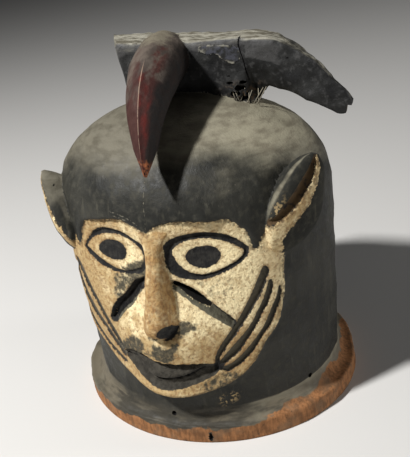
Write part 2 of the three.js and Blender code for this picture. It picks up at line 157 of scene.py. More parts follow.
# Smudges, dust and worn places on the clay, and the nose's painted shadow, each an outline and a strength
SMUDGES_AND_NOSE_SHADOW = [
    ([(-44, 174), (-29, 179), (-20, 173), (-28, 163.5), (-37, 155), (-46, 148), (-50, 154.5),
      (-46, 164), (-48, 168.5)], 0.8),
    ([(-35, 182), (-11, 192), (-10, 172), (-24, 171), (-32, 177)], 1),
    ([(-45.5, 108), (-30, 120), (-19.5, 119.5), (-17, 113), (-21, 104.5), (-30, 103), (-43, 98),
      (-51, 99.5)], 1),
    ([(-8.5, 116.5), (-2.5, 119), (6, 116), (13, 121), (17, 121), (15.5, 114.5), (12, 109.5), (9, 102),
      (2, 101), (-5, 103), (-9, 108)], 1),
    ([(-23, 110), (-9, 113), (-9, 104), (-20, 105)], 0.6),
    # The nose's shadow on the viewer's right cheek, painted as a dark patch
    ([(16, 137), (20.5, 138.5), (27, 137), (32.5, 132.5), (31, 129), (25, 129.5), (22, 126), (16, 126)],
     1),
    ([(-10, 127.5), (0, 128), (1.5, 124), (-5, 122), (-11, 123)], 0.8),
    ([(22, 60), (33, 76), (44, 80), (60, 77), (64, 72), (50, 65), (34, 61)], 0.62),
    ([(26, 176), (40, 171), (52, 172), (66, 170), (56, 152), (44, 158)], 0.3),
]
# The paint that closes the corner of the mouth, below the scars
CORNER = [(41, 79.5), (45.5, 84), (52, 80), (49, 88.6), (45, 96), (42, 93)]
# The pit under the nose tip, painted black as the nostril and the shade under the nose
NOSTRIL_AND_SHADE = [(17.5, 136), (16.5, 131.5), (15, 128), (11.8, 124.7), (7.3, 122.8), (2, 124), (-1, 127),
           (4, 135), (12, 139)]
NOSTRIL_DEPTH = 2.5
# How far the clay stands out from the wood, and the raised line inside its edge at the chin
CLAY_RISE = 1.8
CHIN_RIM = {"height": 1.6, "place": 3, "reach": 3.2}
# Where flecks of clay lie, low on the neck
FLECKS = [(39, 45), (45, 49), (55, 50), (53, 41), (45, 38), (41, 31)]
# Fine light lines in the black: a drying crack and scratches, as x and z
SCRATCHES = [
    [(-2.6, 272), (-1.2, 256), (-1.6, 245), (-1, 231), (-2.2, 223)],
    [(-36, 238), (-25, 235), (-15, 231), (-9, 227)],
    [(-33, 234.5), (-24, 232), (-19, 230)],
    [(60, 240), (66, 249), (76, 256)],
]
UPPER_LIP = [(-47, 96), (-42.6, 99.3), (-36, 102), (-29.7, 104), (-23.5, 104.8), (-17.6, 104.6),
             (-9, 101.8), (2, 100), (12, 98.8), (22.6, 97.2), (34, 94.6), (45, 91.2)]
INNER_LIP = [(-47, 94.5), (-38, 97.3), (-30, 97.3), (-25.2, 94), (-22, 88), (-16.8, 82.6), (-8.4, 80.7),
             (3, 81.2), (13.3, 82.6), (23.1, 84.9), (31.2, 88.5), (36, 90), (45, 90.7)]
LOWER_LIP = [(-48, 94), (-43.6, 90), (-34.6, 83.5), (-24.6, 75.8), (-14.2, 71.2), (-5.3, 69.8),
             (4, 70.2), (13.6, 71.4), (24, 73.9), (32, 76.2), (41, 79.4), (45.5, 84)]
# The lips' depths under the cheeks: of the upper lip, where they meet, of the hollow in the lower
# lip, and of the seam between them
LIP_DEPTH = {"upper": 8.5, "inner": 1.4, "dish": 3.2, "seam": 4.2}
SEAM_HALF_WIDTH = 1.4

# The nose as rows of height, middle, half width of its flat front, half width at the cheeks, and y
NOSE_ROWS = [(122, 1, 5, 11, -131), (126, 1, 7.6, 14.6, -140), (131, 1, 8.8, 16.4, -146.2),
             (137, 1, 9, 16.9, -149), (145, 0.8, 8.4, 16, -148.2), (155, 0.8, 8, 14.6, -144.6),
             (170, 0.8, 7.1, 12.2, -138.5), (185, 0.8, 6.3, 9.8, -133), (197, 0.6, 5.6, 8, -128.2),
             (204, 0.6, 5.6, 8, -125.4), (211, 0.8, 6.4, 10, -123), (218, 1.5, 8.4, 14, -121),
             (226, 2, 11, 17, -117), (233, 2, 14, 20, -112)]
NOSE = {"columns": 56, "rows": 64, "root": 9, "squareness": 0.6, "unevenness": 0.4}
# The slanting cut of the nostril, as a place on it and the way it faces
NOSTRIL_PLACE = (3.3, -149, 136.5)
NOSTRIL_FACING = (0.727, -0.579, -0.368)

# Round the rim from the front, in degrees: the height up to which its wood is bare, and its dust
RAW_TO = [(-180, 14), (-60, 14.5), (-30, 15.5), (0, 15), (25, 15.5), (38, 18), (48, 22), (60, 25.5),
          (75, 28), (95, 27), (120, 20), (150, 14), (180, 14)]
RIM_DUST = [(-180, 0.4), (-100, 0.7), (-65, 0.9), (-40, 0.55), (-20, 0.2), (5, 0.12), (25, 0.4),
            (38, 0.65), (50, 0.9), (75, 1), (110, 0.8), (150, 0.4), (180, 0.4)]

# Where the dust on the crown ends, as x and z
DUST_EDGE = [(-131, 243), (-115, 256), (-90, 269), (-62, 271), (-30, 271), (10, 272), (60, 274),
             (84, 272), (100, 265), (120, 253), (131, 238)]
# The height over which it fades out
DUST_FADE = 38
# A thinner coat of dust lies lower down on the viewer's right, and thickens upwards and outwards
THIN_DUST = {"share": 0.43, "low": 218, "high": 262, "from_x": 12, "to_x": 66}

# The ears: foot and tip on the head's surface, and whether the wood in the groove is bare. The edges
# of the groove and of the clay are pairs of a share of the height and a distance towards the back.
EARS = [
    {"side": 1, "base": (98, -82, 186), "tip": (132, -58, 266), "bare": 1,
     "groove_from": [(0.2, -26), (0.36, -20), (0.47, -18), (0.63, -12), (0.79, -7), (0.93, -2.5), (1, -1)],
     "groove_to": [(0.2, -23), (0.33, -14.5), (0.45, -8.5), (0.58, -3), (0.75, 2), (0.91, 2), (1, 0)],
     "clay_to": [(0, 4), (0.07, 2), (0.15, -5), (0.29, -3), (0.44, 2.5), (0.55, 7), (0.75, 9), (0.9, 7),
                 (1, 2)]},
    {"side": -1, "base": (98, -82, 182), "tip": (131, -59, 252), "bare": 0,
     "groove_from": [(0.2, -20), (0.36, -14), (0.47, -10), (0.63, -7), (0.79, -5), (1, -2)],
     "groove_to": [(0.2, -13), (0.33, -9), (0.45, -5), (0.58, -1), (0.75, 2), (0.91, 2), (1, 0)],
     "clay_to": [(0, -2), (0.17, 0), (0.29, 3), (0.44, 6), (0.55, 9), (0.75, 10), (0.9, 7), (1, 2)]},
]
EAR = {"columns": 72, "rows": 60, "half_width": 26, "shift": 3, "rise": 11, "root": 24,
       "unevenness": 0.35, "dull": 0.62, "ochre": 0.15}
EAR_GROOVE_DEPTH = 4
EAR_FULLNESS = 0.6
# Dust on the front half of an ear, more of it along its edge, and all over an ear that isn't bare
EAR_DUST = {"front": 0.08, "edge": 0.44, "whole": 0.6}

# The crest's front as pairs of points on its upper and lower edge, from the broken end to the tip
CREST_EDGES = [
    ((-64.5, 355), (-53, 278)), ((-61, 355), (-50, 278)), ((-40, 353.5), (-34, 278)),
    ((0, 352), (0, 278)), ((24, 351), (30, 278)), ((45, 351.5), (54, 279)), ((56, 352), (62, 281)),
    ((64, 352), (66, 286)), ((71, 351.5), (70.5, 294)), ((76, 351), (76, 301)), ((80, 350), (80.5, 303.5)),
    ((86, 349), (87, 302.5)), ((100, 343), (99, 299)), ((117, 333), (112, 293.5)),
    ((130, 321), (125, 287.5)), ((142, 307), (136, 281.5)), ((150.5, 297), (143, 278.2)),
    ((155.6, 289.6), (153.6, 279.6)),
]
# The crest's front lies at this y. It is this thick, and thinner between two places towards the tip.
# The broken end runs outwards to the back by the skew, and the upper edge rises there by the lift.
CREST = {"columns": 72, "rows": 150, "front": 4, "thickness": 32, "thin_from": 70, "thin_to": 135,
         "tip": 10, "squareness": 13, "skew": 0.5, "skew_from": 30, "skew_to": 60, "lift": 0.09}
# The crest's upper edge is worn along this line, as x and z
CREST_WORN_EDGE = [(24, 351), (81, 350), (151, 291)]
# The ridge along the wing, and how much the wood under it falls back
WING_LINE = [(60, 332), (70.3, 330.9), (82.7, 327.5), (92.3, 323.4), (101.9, 310.4), (112.5, 296.3),
             (119, 286)]
WING_SLOPE = 0.32
# The crack between the crest and its wing, and the flaked patch, as x and z
CREST_CRACK = [(61.4, 356), (58.1, 346), (61.1, 331.4), (62.6, 320.5), (64.4, 308.5), (64.4, 302)]
FLAKE = [(19, 343.5), (24, 346.5), (39.6, 346.6), (50, 345), (58, 344.2), (58.6, 338), (57.4, 331.6),
         (52, 329), (47.8, 329.7), (43, 334.5), (38, 337), (34.5, 338.6), (28.8, 337.4), (22, 340)]
# Worn holes in the crest's foot and a knot hole, as x, z and radius, and the shape of each
ROT_HOLES = [(54.7, 306.2, 3.4), (58.3, 311, 2.6), (50, 301, 3), (59.8, 297, 3), (67, 307, 2.8),
             (45.5, 311, 2.2), (64, 300.5, 2.6), (53, 295.5, 2.6), (45, 317.8, 1.6), (100.6, 330.8, 1.1)]
ROT_LUMP = {"shape": (1.7, 2.2, 0.8), "depth": 0.5, "rough": 0.8, "first_seed": 70}
TIP_CHIP = {"place": (154, 281), "size": (9, 18, 10), "turn": 10}
# Broken places on rim and ear, as the middle, half sizes, roughness in mm and seed of what is gone
RIM_BREAK = ((136, 44, 31), (9, 18, 8), 1.2, 61)
RIM_GOUGE = ((28.6, -128.9, 7), (1.5, 3.8, 4.2), 0.8, 62)
EAR_HOLE = ((-112.9, -72.5, 242.3), (0.9, 2.5, 2), 0.3, 63)
# Lumps larger than this get a finer skin
LARGE_LUMP = 6
# Fibres under the crest, each from x and z at its top to x and z at its foot, and their radius there
SPLINTERS = [((48.5, 305.6), (54.6, 293)), ((59.1, 304.4), (54.2, 293.2)), ((62.1, 302), (62.9, 291.8)),
             ((76.6, 304.5), (67.1, 291.5)), ((79.1, 304.5), (70.4, 291)), ((44.4, 308.8), (50.3, 294.2)),
             ((66, 302.5), (61, 292)), ((51.5, 303), (51, 294)), ((71, 303), (72, 290))]
FIBRE = {"foot": 0.5, "top": 0.35}

# The beak's middle line runs from the first of these places to the last, and bends to the others
BEAK_SPINE = [(-19, 20, 334.7), (-1, -53.3, 346), (3, -101.3, 318.5), (11.7, -130, 275.8)]
# The beak's half width, its height over and under that line, how much and how late it narrows, how
# sharp its ridge is, how much fuller the tip is underneath, and how far the keel stands up
BEAK = {"columns": 80, "rows": 96, "half_width": 24.5, "ridge": 25.3, "under": 25.8, "taper": 0.95,
        "fullness": 2.23, "sharpness": 1.2, "blunt": 1.2, "keel": 1.2}

# The tie holes as degrees round the neck from the front and a height, and the rod that cuts them
TIE_HOLES = [(-3.5, 27), (62.3, 36)]
TIE_HOLE = {"radius": 2.4, "y": -125, "length": 60}
# The blades that cut the slits and the crack
SLIT_BLADE = {"y": -125, "length": 110, "cuts": 14}
CRACK_BLADE = {"depth": 9, "width": 1.5, "width_within": 0.5, "cuts": 24}
# How far round the joins between the parts, and how often, the skin is smoothed
JOIN = {"rings": 3, "passes": 5}
# Edges that turn by more than this are shaded as sharp ones
SHARP_ANGLE = math.radians(55)

# What a blade left on each part: how far apart its shallow scoops lie and the radius of their hollow
SCOOPS = {
    "head": {"spacing": 17, "radius": 60, "stretch": (1, 1, 1.5), "seed": 4},
    "crest": {"spacing": 13, "radius": 45, "stretch": (1.7, 1, 1), "seed": 14},
    "beak": {"spacing": 16, "radius": 55, "stretch": (1, 1.5, 1.5), "seed": 24},
}
# Swells and wear: how far apart the hills lie, and the seed
WAVES = {"head": (90, 5), "rim": (60, 8), "rim_nicks": (17, 9), "rim_top": (44, 12), "nose": (28, 21),
         "ear": (20, 31), "rot": (6.5, 15), "crest_edge": (11, 16)}

# The camera's angles in degrees, its focal length in rows of the picture, how far away it stands and
# what it looks at in mm, and the number of rows
CAMERA = {"azimuth": 22.389, "elevation": 25.835, "roll": 8.714, "focal": 699.2,
          "distance": 713.7, "aim_x": 1.80, "aim_z": 162.87, "rows": 457}
# Height of the camera's picture in mm
SENSOR = 36
# Colours of the floor and of the light all round, as a screen shows them
PAPER = (214, 212, 208)
SKY = (214, 216, 220)
# All lamps point at this place, in metres. The main one hangs off it in this direction, and the
# others have a place, a size and a power.
LIT_PLACE = Vector((0, 0, 0.2))
KEY = {"towards": (-0.39, -0.49, 0.78), "distance": 2, "size": 0.15, "power": 62}
SIDE_LAMPS = [("kicker", (2.85, 0.98, 0.75), 0.8, 27), ("fill", (2.9, -1.45, 0.75), 0.8, 5.8)]


# Lines and distances

def smoothstep(value, low, high):
    share = np.clip((value - low) / (high - low), 0, 1)
    return share * share * (3 - 2 * share)


def lerp(start, end, share):
    return start + (end - start) * share


def bell(value):
    return np.exp(-value ** 2)


def smooth_curve(points, steps=6, closed=False):
    """Points along a curve that passes through the given ones."""
    points = np.array(points, float)
    if closed:
        run = np.concatenate([points[-1:], points, points[:2]])
    else:
        run = np.concatenate([2 * points[:1] - points[1:2], points, 2 * points[-1:] - points[-2:-1]])
    a, b, c, d = run[:-3], run[1:-2], run[2:-1], run[3:]
    t = np.linspace(0, 1, steps, endpoint=False)[:, None, None]
    curve = b + 0.5 * t * (c - a + t * (2 * a - 5 * b + 4 * c - d + t * (3 * (b - c) + d - a)))
    curve = curve.transpose(1, 0, 2).reshape(-1, points.shape[1])
    return curve if closed else np.concatenate([curve, points[-1:]])


def gap_to(path, x, z):
    """Distance from each place to a path, and the share of the path at its nearest point."""
    starts, steps = path[:-1], np.diff(path, axis=0)
    offset = np.stack([x, z], -1)[:, None, :] - starts
    along = np.clip((offset * steps).sum(-1) / np.maximum((steps ** 2).sum(-1), 1e-9), 0, 1)
    gap = np.linalg.norm(offset - along[..., None] * steps, axis=-1)
    nearest = gap.argmin(-1)
    rows = np.arange(len(x))
    return gap[rows, nearest], (nearest + along[rows, nearest]) / len(steps)


def inside(outline, x, z):
    """Distance in from a closed outline, negative outside it."""
    gap = gap_to(np.concatenate([outline, outline[:1]]), x, z)[0]
    ends = np.roll(outline, -1, axis=0)
    crossed = (outline[:, 1] > z[:, None]) != (ends[:, 1] > z[:, None])
    climb = np.where(crossed, ends[:, 1] - outline[:, 1], 1)
    at = outline[:, 0] + (z[:, None] - outline[:, 1]) / climb * (ends[:, 0] - outline[:, 0])
    odd = (crossed & (x[:, None] < at)).sum(-1) % 2 == 1
    return np.where(odd, gap, -gap)


def level(table, value):
    """Reads a table of (key, number) pairs at the given keys."""
    keys, numbers = np.array(table, float).T
    return np.interp(value, keys, numbers)


# Skins

def tube(columns, rows):
    """A closed tube: its mesh, and each vertex's turn round it, row, and share of its radius."""
    bm = bmesh.new()
    bmesh.ops.create_cone(bm, cap_ends=True, cap_tris=True, segments=columns, radius1=1, radius2=1,
                          depth=1)
    upright = [edge for edge in bm.edges if abs(edge.verts[0].co.z - edge.verts[1].co.z) > 0.5]
    bmesh.ops.subdivide_edges(bm, edges=upright, cuts=rows - 1, use_grid_fill=True)
    mesh = bpy.data.meshes.new("tube")
    bm.to_mesh(mesh)
    bm.free()
    x, y, z = points_of(mesh).T
    return mesh, np.arctan2(x, -y), np.round((z + 0.5) * rows).astype(int), np.round(np.hypot(x, y))


def points_of(mesh):
    place = np.empty(3 * len(mesh.vertices))
    mesh.vertices.foreach_get("co", place)
    return place.reshape(-1, 3)


def normals_of(mesh):
    normals = np.empty(3 * len(mesh.vertices))
    mesh.vertices.foreach_get("normal", normals)
    return normals.reshape(-1, 3)


def move_to(mesh, points):
    mesh.vertices.foreach_set("co", points.ravel())
    mesh.update()


# What the paint reads at each point of the carving: distances in mm into a painted area, or shares.
# The turn round the beak and the share along it are among them, and along is the rot on the crest.
EDGES = ["clay", "stroke", "slit", "lip", "wood", "scratch", "flake", "raw"]
SHARES = ["smudge_and_shadow", "ochre", "dull", "faded", "fleck", "hollow", "dust", "turn", "along", "part", "known"]
FAR_OUT = -30
# The number that each part leaves on its points, and the one of the pieces that only cut
PART = {"head": 0, "nose": 1, "ear": 2, "crest": 3, "beak": 4, "splinters": 5, "cut": 9}


def finish_part(mesh, name, material, part, **marks):
    """Makes an object of a mesh, with its material and its marks for the paint."""
    marks["part"], marks["known"] = part, 1
    for mark in EDGES + SHARES:
        values = np.asarray(marks.get(mark, FAR_OUT if mark in EDGES else 0), float)
        layer = mesh.attributes.new(mark, "FLOAT", "POINT")
        layer.data.foreach_set("value", np.broadcast_to(values, len(mesh.vertices)).copy())
    mesh.materials.append(material)
    mesh.polygons.foreach_set("use_smooth", [True] * len(mesh.polygons))
    piece = bpy.data.objects.new(name, mesh)
    bpy.context.collection.objects.link(piece)
    return piece


def scoops(points, spacing, radius, stretch, seed):
    """Height in mm of the ridges between the shallow scoops that a blade left."""
    ruler = points / stretch
    order = np.random.default_rng(seed).permutation(len(points))
    cells = np.floor(ruler[order] / spacing)
    first = np.unique(cells, axis=0, return_index=True)[1]
    tree = KDTree(len(first))
    for number, index in enumerate(order[first]):
        tree.insert(ruler[index], number)
    tree.balance()
    gap = np.array([tree.find(place)[2] for place in ruler])
    return gap ** 2 / (2 * radius)


def waves(points, length, seed):
    """Smooth random values of about -1 to 1 whose hills are about the given length apart."""
    rng = np.random.default_rng(seed)
    total = np.zeros(len(points))
    for _ in range(7):
        direction = rng.normal(size=3)
        direction /= np.linalg.norm(direction)
        turn = 2 * np.pi * (points @ direction) / (length * rng.uniform(0.7, 1.6))
        total += np.sin(turn + rng.uniform(0, 2 * np.pi) + 1.5 * np.sin(0.6 * turn))
    return total / 3


# The head

def crown_share(rise):
    """The crown's width as a share of the temple's, at each share of its rise."""
    return np.maximum(0, 1 - rise ** CROWN["roundness"]) ** (1 / CROWN["shoulder"])


def crown_rise(turns):
    """Shares of the crown's rise that lie closer together towards its top."""
    return np.sin(turns) ** (2 / CROWN["roundness"])


def head_section(z):
    """Half width, half depth and middle y of the head's outside at each height."""
    up = np.clip((z - RIM["top"]) / (TEMPLE["z"] - RIM["top"]), 0, 1)
    share = crown_share(np.clip((z - TEMPLE["z"]) / CROWN["height"], 0, 1))
    half_width = share * lerp(NECK["half_width"], TEMPLE["half_width"], up)
    half_depth = share * lerp(NECK["half_depth"], TEMPLE["half_depth"], up)
    return half_width, half_depth, lerp(NECK["centre_y"], TEMPLE["centre_y"], up)


def head_front(x, z):
    """Where the head's front lies along y before the face is cut into it."""
    half_width, half_depth, centre_y = head_section(z)
    return centre_y - half_depth * np.sqrt(np.maximum(0, 1 - (x / half_width) ** 2))


def face_form(x, z):
    """How far the sockets lie back and the muzzle stands out, along y."""
    beside = (np.abs(x) - SOCKET["x"]) / SOCKET["reach_x"]
    socket = SOCKET["depth"] * bell(beside) * bell((z - SOCKET["z"]) / SOCKET["reach_z"])
    low = 1 - smoothstep(z, MUZZLE["full"], MUZZLE["top"])
    return socket - MUZZLE["depth"] * bell(x / MUZZLE["reach"]) * low


def face_outline():
    """The edge of the clay, up one side of the face and down the other."""
    right = np.concatenate([smooth_curve(BROW_RIGHT, 4), smooth_curve(CHEEK_RIGHT)])
    left = np.concatenate([smooth_curve(BROW_LEFT, 4), smooth_curve(CHEEK_LEFT)])
    return np.concatenate([right, left[::-1]])


def head_rows():
    """Half width, half depth, middle x, middle y and z of each row, from the top of the hollow
    down its wall, under the rim and up the outside."""
    def rows(half_width, half_depth, middle_x, middle_y, z):
        return np.stack(np.broadcast_arrays(half_width, half_depth, middle_x, middle_y, z), -1)

    rise = crown_rise(np.linspace(LAST_TURN, 0, ROWS["hollow_top"]))
    share = crown_share(rise)
    hollow_top = rows(share * HOLLOW["half_width"], share * HOLLOW["half_depth"], 0, HOLLOW["centre_y"],
                      lerp(HOLLOW["wall_top"], HOLLOW["top"], rise))
    wall = rows(HOLLOW["half_width"], HOLLOW["half_depth"], 0, HOLLOW["centre_y"],
                np.linspace(HOLLOW["wall_start"], 0, ROWS["wall"]))
    out = np.linspace(0.1, 0.94, ROWS["under"])
    under = rows(lerp(HOLLOW["half_width"], RIM["half_width"], out),
                 lerp(HOLLOW["half_depth"], RIM["half_depth"], out), RIM["centre_x"] * out, 0, 0)
    edge_z, inset = np.array(RIM_EDGE, float).T
    edge = rows(RIM["half_width"] - inset, RIM["half_depth"] - inset, RIM["centre_x"], 0, edge_z)
    t = np.linspace(0.05, 1, ROWS["rim_top"])
    cove = lerp(RIM["edge"], RIM["top"] + 5, t ** 2.2)
    width, depth, middle = head_section(cove)
    top = rows(lerp(RIM["half_width"], width, t ** 0.8), lerp(RIM["half_depth"], depth, t ** 0.8),
               RIM["centre_x"] * (1 - t), middle * t, cove)
    neck_z = np.linspace(RIM["top"] + 7, FACE_LOW - 1.5, ROWS["neck"])
    face_z = np.linspace(FACE_LOW, FACE_HIGH, ROWS["face"])
    start = math.asin(((FACE_HIGH - TEMPLE["z"]) / CROWN["height"]) ** (CROWN["roundness"] / 2))
    turns = np.linspace(start, LAST_TURN, ROWS["crown"] + 1)[1:]
    skin_z = np.concatenate([neck_z, face_z, TEMPLE["z"] + CROWN["height"] * crown_rise(turns)])
    width, depth, middle = head_section(skin_z)
    skin = rows(width, depth, 0, middle, skin_z)
    return np.concatenate([hollow_top, wall, under, edge, top, skin])


def slit_carving(x, z):
    """Depth of the grooves under the eyes, and the distance into their dark walls and into all
    of them."""
    depth = np.zeros(len(x))
    dark, slope = np.full(len(x), FAR_OUT, float), np.full(len(x), FAR_OUT, float)
    for slit in SLITS:
        upper, lower = smooth_curve(slit["upper"]), smooth_curve(slit["lower"])
        within = inside(np.concatenate([upper, lower[::-1]]), x, z)
        down, up = gap_to(upper, x, z)[0], gap_to(lower, x, z)[0]
        share = down / np.maximum(down + up, 0.01)
        profile = np.minimum(smoothstep(share, -0.1, 0.3), 1 - smoothstep(share, 0.3, 1) ** 0.8)
        depth = np.maximum(depth, slit["depth"] * profile * smoothstep(within, -0.3, 1))
        dark = np.maximum(dark, np.minimum(within + 0.5, slit["dark"] - down))
        slope = np.maximum(slope, within + 0.3)
    return depth, dark, slope


def mouth_carving(x, z):
    """Depth of the mouth under the cheeks' surface, the distance in from its outline, and into
    the dark seam between the lips."""
    upper, inner, lower = (smooth_curve(line) for line in (UPPER_LIP, INNER_LIP, LOWER_LIP))
    within = inside(np.concatenate([upper, lower[::-1]]), x, z)
    top = np.interp(x, upper[:, 0], upper[:, 1])
    middle = np.minimum(np.interp(x, inner[:, 0], inner[:, 1]), top - 0.5)
    bottom = np.minimum(np.interp(x, lower[:, 0], lower[:, 1]), middle - 0.5)
    over = np.clip((z - middle) / (top - middle), 0, 1)
    below = np.clip((middle - z) / (middle - bottom), 0, 1)
    thickness = smoothstep(top - middle, 0, 12)
    inmost = LIP_DEPTH["inner"]
    shelf = inmost + (LIP_DEPTH["upper"] * thickness ** 0.5 - inmost) * over ** 1.9
    dish = lerp(inmost + 0.8, 1.0, below) + LIP_DEPTH["dish"] * np.sin(np.pi * below) ** 0.8
    fade = smoothstep(x, -40, -20) * (1 - smoothstep(x, 28, 42))
    gap = np.abs(gap_to(inner, x, z)[0])
    depth = np.where(z > middle, shelf, dish) + LIP_DEPTH["seam"] * bell(gap / 1.3) * fade
    seam = np.minimum(SEAM_HALF_WIDTH * fade - gap, within)
    return depth * smoothstep(within, -0.4, 1.4), within, seam


def eye_carving(x, z):
    """Depth of the rings round the eyes, and the distance into rings and pupils."""
    depth, stroke = np.zeros(len(x)), np.full(len(x), FAR_OUT, float)
    for outlines in EYES:
        in_ring, in_white, in_pupil = (inside(smooth_curve(line, closed=True), x, z) for line in outlines)
        line = np.minimum(in_ring, -in_white)
        depth += RING_DEPTH * smoothstep(line, -0.4, 2)
        sunk = np.maximum(0, WHITE_EDGE["share"] - smoothstep(in_white, 0, WHITE_EDGE["reach"]))
        depth += WHITE_EDGE["depth"] * sunk * (in_white > 0)
        stroke = np.maximum(stroke, np.maximum(line, in_pupil))
    return depth, stroke


def scar_carving(x, z):
    """Depth of the grooves in the cheeks, the distance into their black, and the share of them
    that is rubbed pale."""
    depth, faded = np.zeros(len(x)), np.zeros(len(x))
    stroke = inside(np.array(CORNER, float), x, z)
    for scar in SCARS:
        within = inside(smooth_curve(scar, 3, closed=True), x, z)
        depth = np.maximum(depth, SCAR_DEPTH * smoothstep(within, -0.4, 2.4))
        stroke = np.maximum(stroke, within - SCAR_INSET)
        faded = np.maximum(faded, smoothstep(within, 0.6, 2.2))
    return depth, stroke, faded


def clay_wear(x, z):
    """Shares of smudge, painted shadow, ochre, and dull clay with painted shade, at each place of the
    face.
    """
    smudge_and_shadow = np.zeros(len(x))
    for patch, strength in SMUDGES_AND_NOSE_SHADOW:
        within = inside(smooth_curve(patch, closed=True), x, z)
        smudge_and_shadow = np.maximum(smudge_and_shadow, strength * smoothstep(within, -3, 3))
    brow = smoothstep(z, 204, 218)
    nose_line = bell(x / lerp(13, 26, brow)) * lerp(smoothstep(z, 122, 150), 0.6, brow)
    above_eyes = 0.55 * brow * bell((np.abs(x) - 40) / 40)
    by_the_ear = 0.6 * smoothstep(x, 78, 94) * smoothstep(z, 150, 185)
    ochre = np.maximum(np.maximum(nose_line, above_eyes), by_the_ear)
    # On the viewer's left the dull share is painted shade that tones down the lamp; low on the right it is
    # duller clay
    left = smoothstep(-x, 5, 75)
    dull = 1.14 * left + 1.05 * (1 - smoothstep(z, 96, 150)) * (1 - left)
    return smudge_and_shadow, ochre, dull


def carve_face(x, z):
    """Relief and painted areas of the face at each place of the head's front."""
    clay = inside(face_outline(), x, z)
    eye_depth, eye_stroke = eye_carving(x, z)
    scar_depth, scar_stroke, faded = scar_carving(x, z)
    slit_depth, dark, slope = slit_carving(x, z)
    mouth_depth, mouth, seam = mouth_carving(x, z)
    # Black in the pit under the nose: nostril paint and painted shade
    in_nostril_and_shade = inside(smooth_curve(NOSTRIL_AND_SHADE, 3, closed=True), x, z)
    nostril_depth = NOSTRIL_DEPTH * smoothstep(in_nostril_and_shade, 0, 2)
    depth = np.max([eye_depth, scar_depth, nostril_depth, slit_depth, mouth_depth], axis=0)
    stroke = np.max([eye_stroke, scar_stroke, in_nostril_and_shade, dark, seam], axis=0)
    chin_rim = CHIN_RIM["height"] * bell((clay - CHIN_RIM["place"]) / CHIN_RIM["reach"])
    chin_rim *= 1 - smoothstep(z, 70, 92)
    proud = CLAY_RISE * smoothstep(clay, -1, 1) * (1 - smoothstep(z, 180, 214))
    smudge_and_shadow, ochre, dull = clay_wear(x, z)
    return depth - proud - chin_rim, {"clay": clay, "stroke": stroke, "lip": mouth, "slit": slope,
                                      "smudge_and_shadow": smudge_and_shadow, "ochre": ochre, "dull": dull, "faded": faded}


def carve_front(points, outward, front):
    """Cuts the face into the head's front, and gives the marks of its paint."""
    x, z = points[front, 0], points[front, 2]
    marks = {"scratch": np.full(len(points), FAR_OUT, float), "fleck": np.zeros(len(points))}
    marks["scratch"][front] = -np.min([gap_to(smooth_curve(line), x, z)[0] for line in SCRATCHES], axis=0)
    marks["fleck"][front] = smoothstep(inside(np.array(FLECKS, float), x, z), -4, 3)
    face = front & (points[:, 2] < FACE_HIGH)
    x, z = points[face, 0], points[face, 2]
    depth, face_marks = carve_face(x, z)
    # Sockets and muzzle run out a little way beyond the clay, and further below the mouth
    held = smoothstep(face_marks["clay"], np.where(z < 90, -8, -3), 0.5)
    points[face, 1] += face_form(x, z) * held
    points[face] -= outward[face] * depth[:, None]
    for mark, values in face_marks.items():
        marks[mark] = np.full(len(points), FAR_OUT if mark in EDGES else 0, float)
        marks[mark][face] = values
    return marks


def roughen_head(points, outward, z, skin, rim, in_clay):
    """Leaves blade marks and slow swells on the skin, and wears the rim."""
    # Heights here are in mm, and what is taken off them brings their middle back to the surface
    ridges = (1 - in_clay) * (0.9 * scoops(points, **SCOOPS["head"]) - 0.4)
    swells = (1 - 0.6 * in_clay) * 0.5 * waves(points, *WAVES["head"])
    points += outward * (skin * (ridges + swells))[:, None]
    below_neck = 1 - smoothstep(z, 24, 34)
    worn = 1.1 * waves(points * (1, 1, 0.6), *WAVES["rim"]) + 0.5 * waves(points, *WAVES["rim_nicks"])
    points += outward * (rim * smoothstep(z, -1, 8) * below_neck * (worn - 0.8))[:, None]
    points[:, 2] += rim * smoothstep(z, 10, 19) * below_neck * 0.9 * waves(points, *WAVES["rim_top"])


def make_head(material):
    """Rim, neck, face and crown with the hollow below them, as one closed skin."""
    table = head_rows()
    outside_row = ROWS["hollow_top"] + ROWS["wall"]
    rim_row = outside_row + ROWS["under"]
    skin_row = len(table) - ROWS["neck"] - ROWS["face"] - ROWS["crown"]
    mesh, turn, row, share = tube(HEAD_COLUMNS, len(table) - 1)
    angle = np.sign(turn) * np.interp(np.abs(turn), (0, FRONT_TURN, math.pi), (0, FRONT_ANGLE, math.pi))
    half_width, half_depth, middle_x, middle_y, z = table[row].T
    sideways, ahead = np.sin(angle), -np.cos(angle)
    points = np.stack([middle_x + share * half_width * sideways,
                       middle_y + share * half_depth * ahead, z], -1)
    outward = np.stack([sideways / HEAD_BREADTH, ahead, np.zeros(len(z))], -1)
    marks = carve_front(points, outward, (row >= skin_row) & (np.abs(angle) < FACE_ANGLE))
    skin, rim = (row >= skin_row).astype(float), ((row > rim_row) & (row < skin_row)).astype(float)
    roughen_head(points, outward, z, skin, rim, smoothstep(marks["clay"], -4, 1))
    tilt = CROWN["tilt"] * points[:, 0] * np.clip((z - TEMPLE["z"]) / CROWN["height"], 0, 1)
    points[:, 2] += tilt * (row > outside_row)
    move_to(mesh, points)
    thick = np.clip((points[:, 2] - level(DUST_EDGE, points[:, 0])) / DUST_FADE + 0.5, 0, 1)
    thin = (THIN_DUST["share"] * smoothstep(points[:, 2], THIN_DUST["low"], THIN_DUST["high"])
            * smoothstep(points[:, 0], THIN_DUST["from_x"], THIN_DUST["to_x"]))
    around = np.degrees(np.arctan2(points[:, 0], -points[:, 1]))
    marks["dust"] = np.where(skin > 0, np.maximum(thick, thin), level(RIM_DUST, around))
    marks["raw"] = np.where(row > outside_row, level(RAW_TO, around) - z, FAR_OUT)
    marks["hollow"] = (row <= rim_row).astype(float)
    return finish_part(mesh, "head", material, PART["head"], **marks)


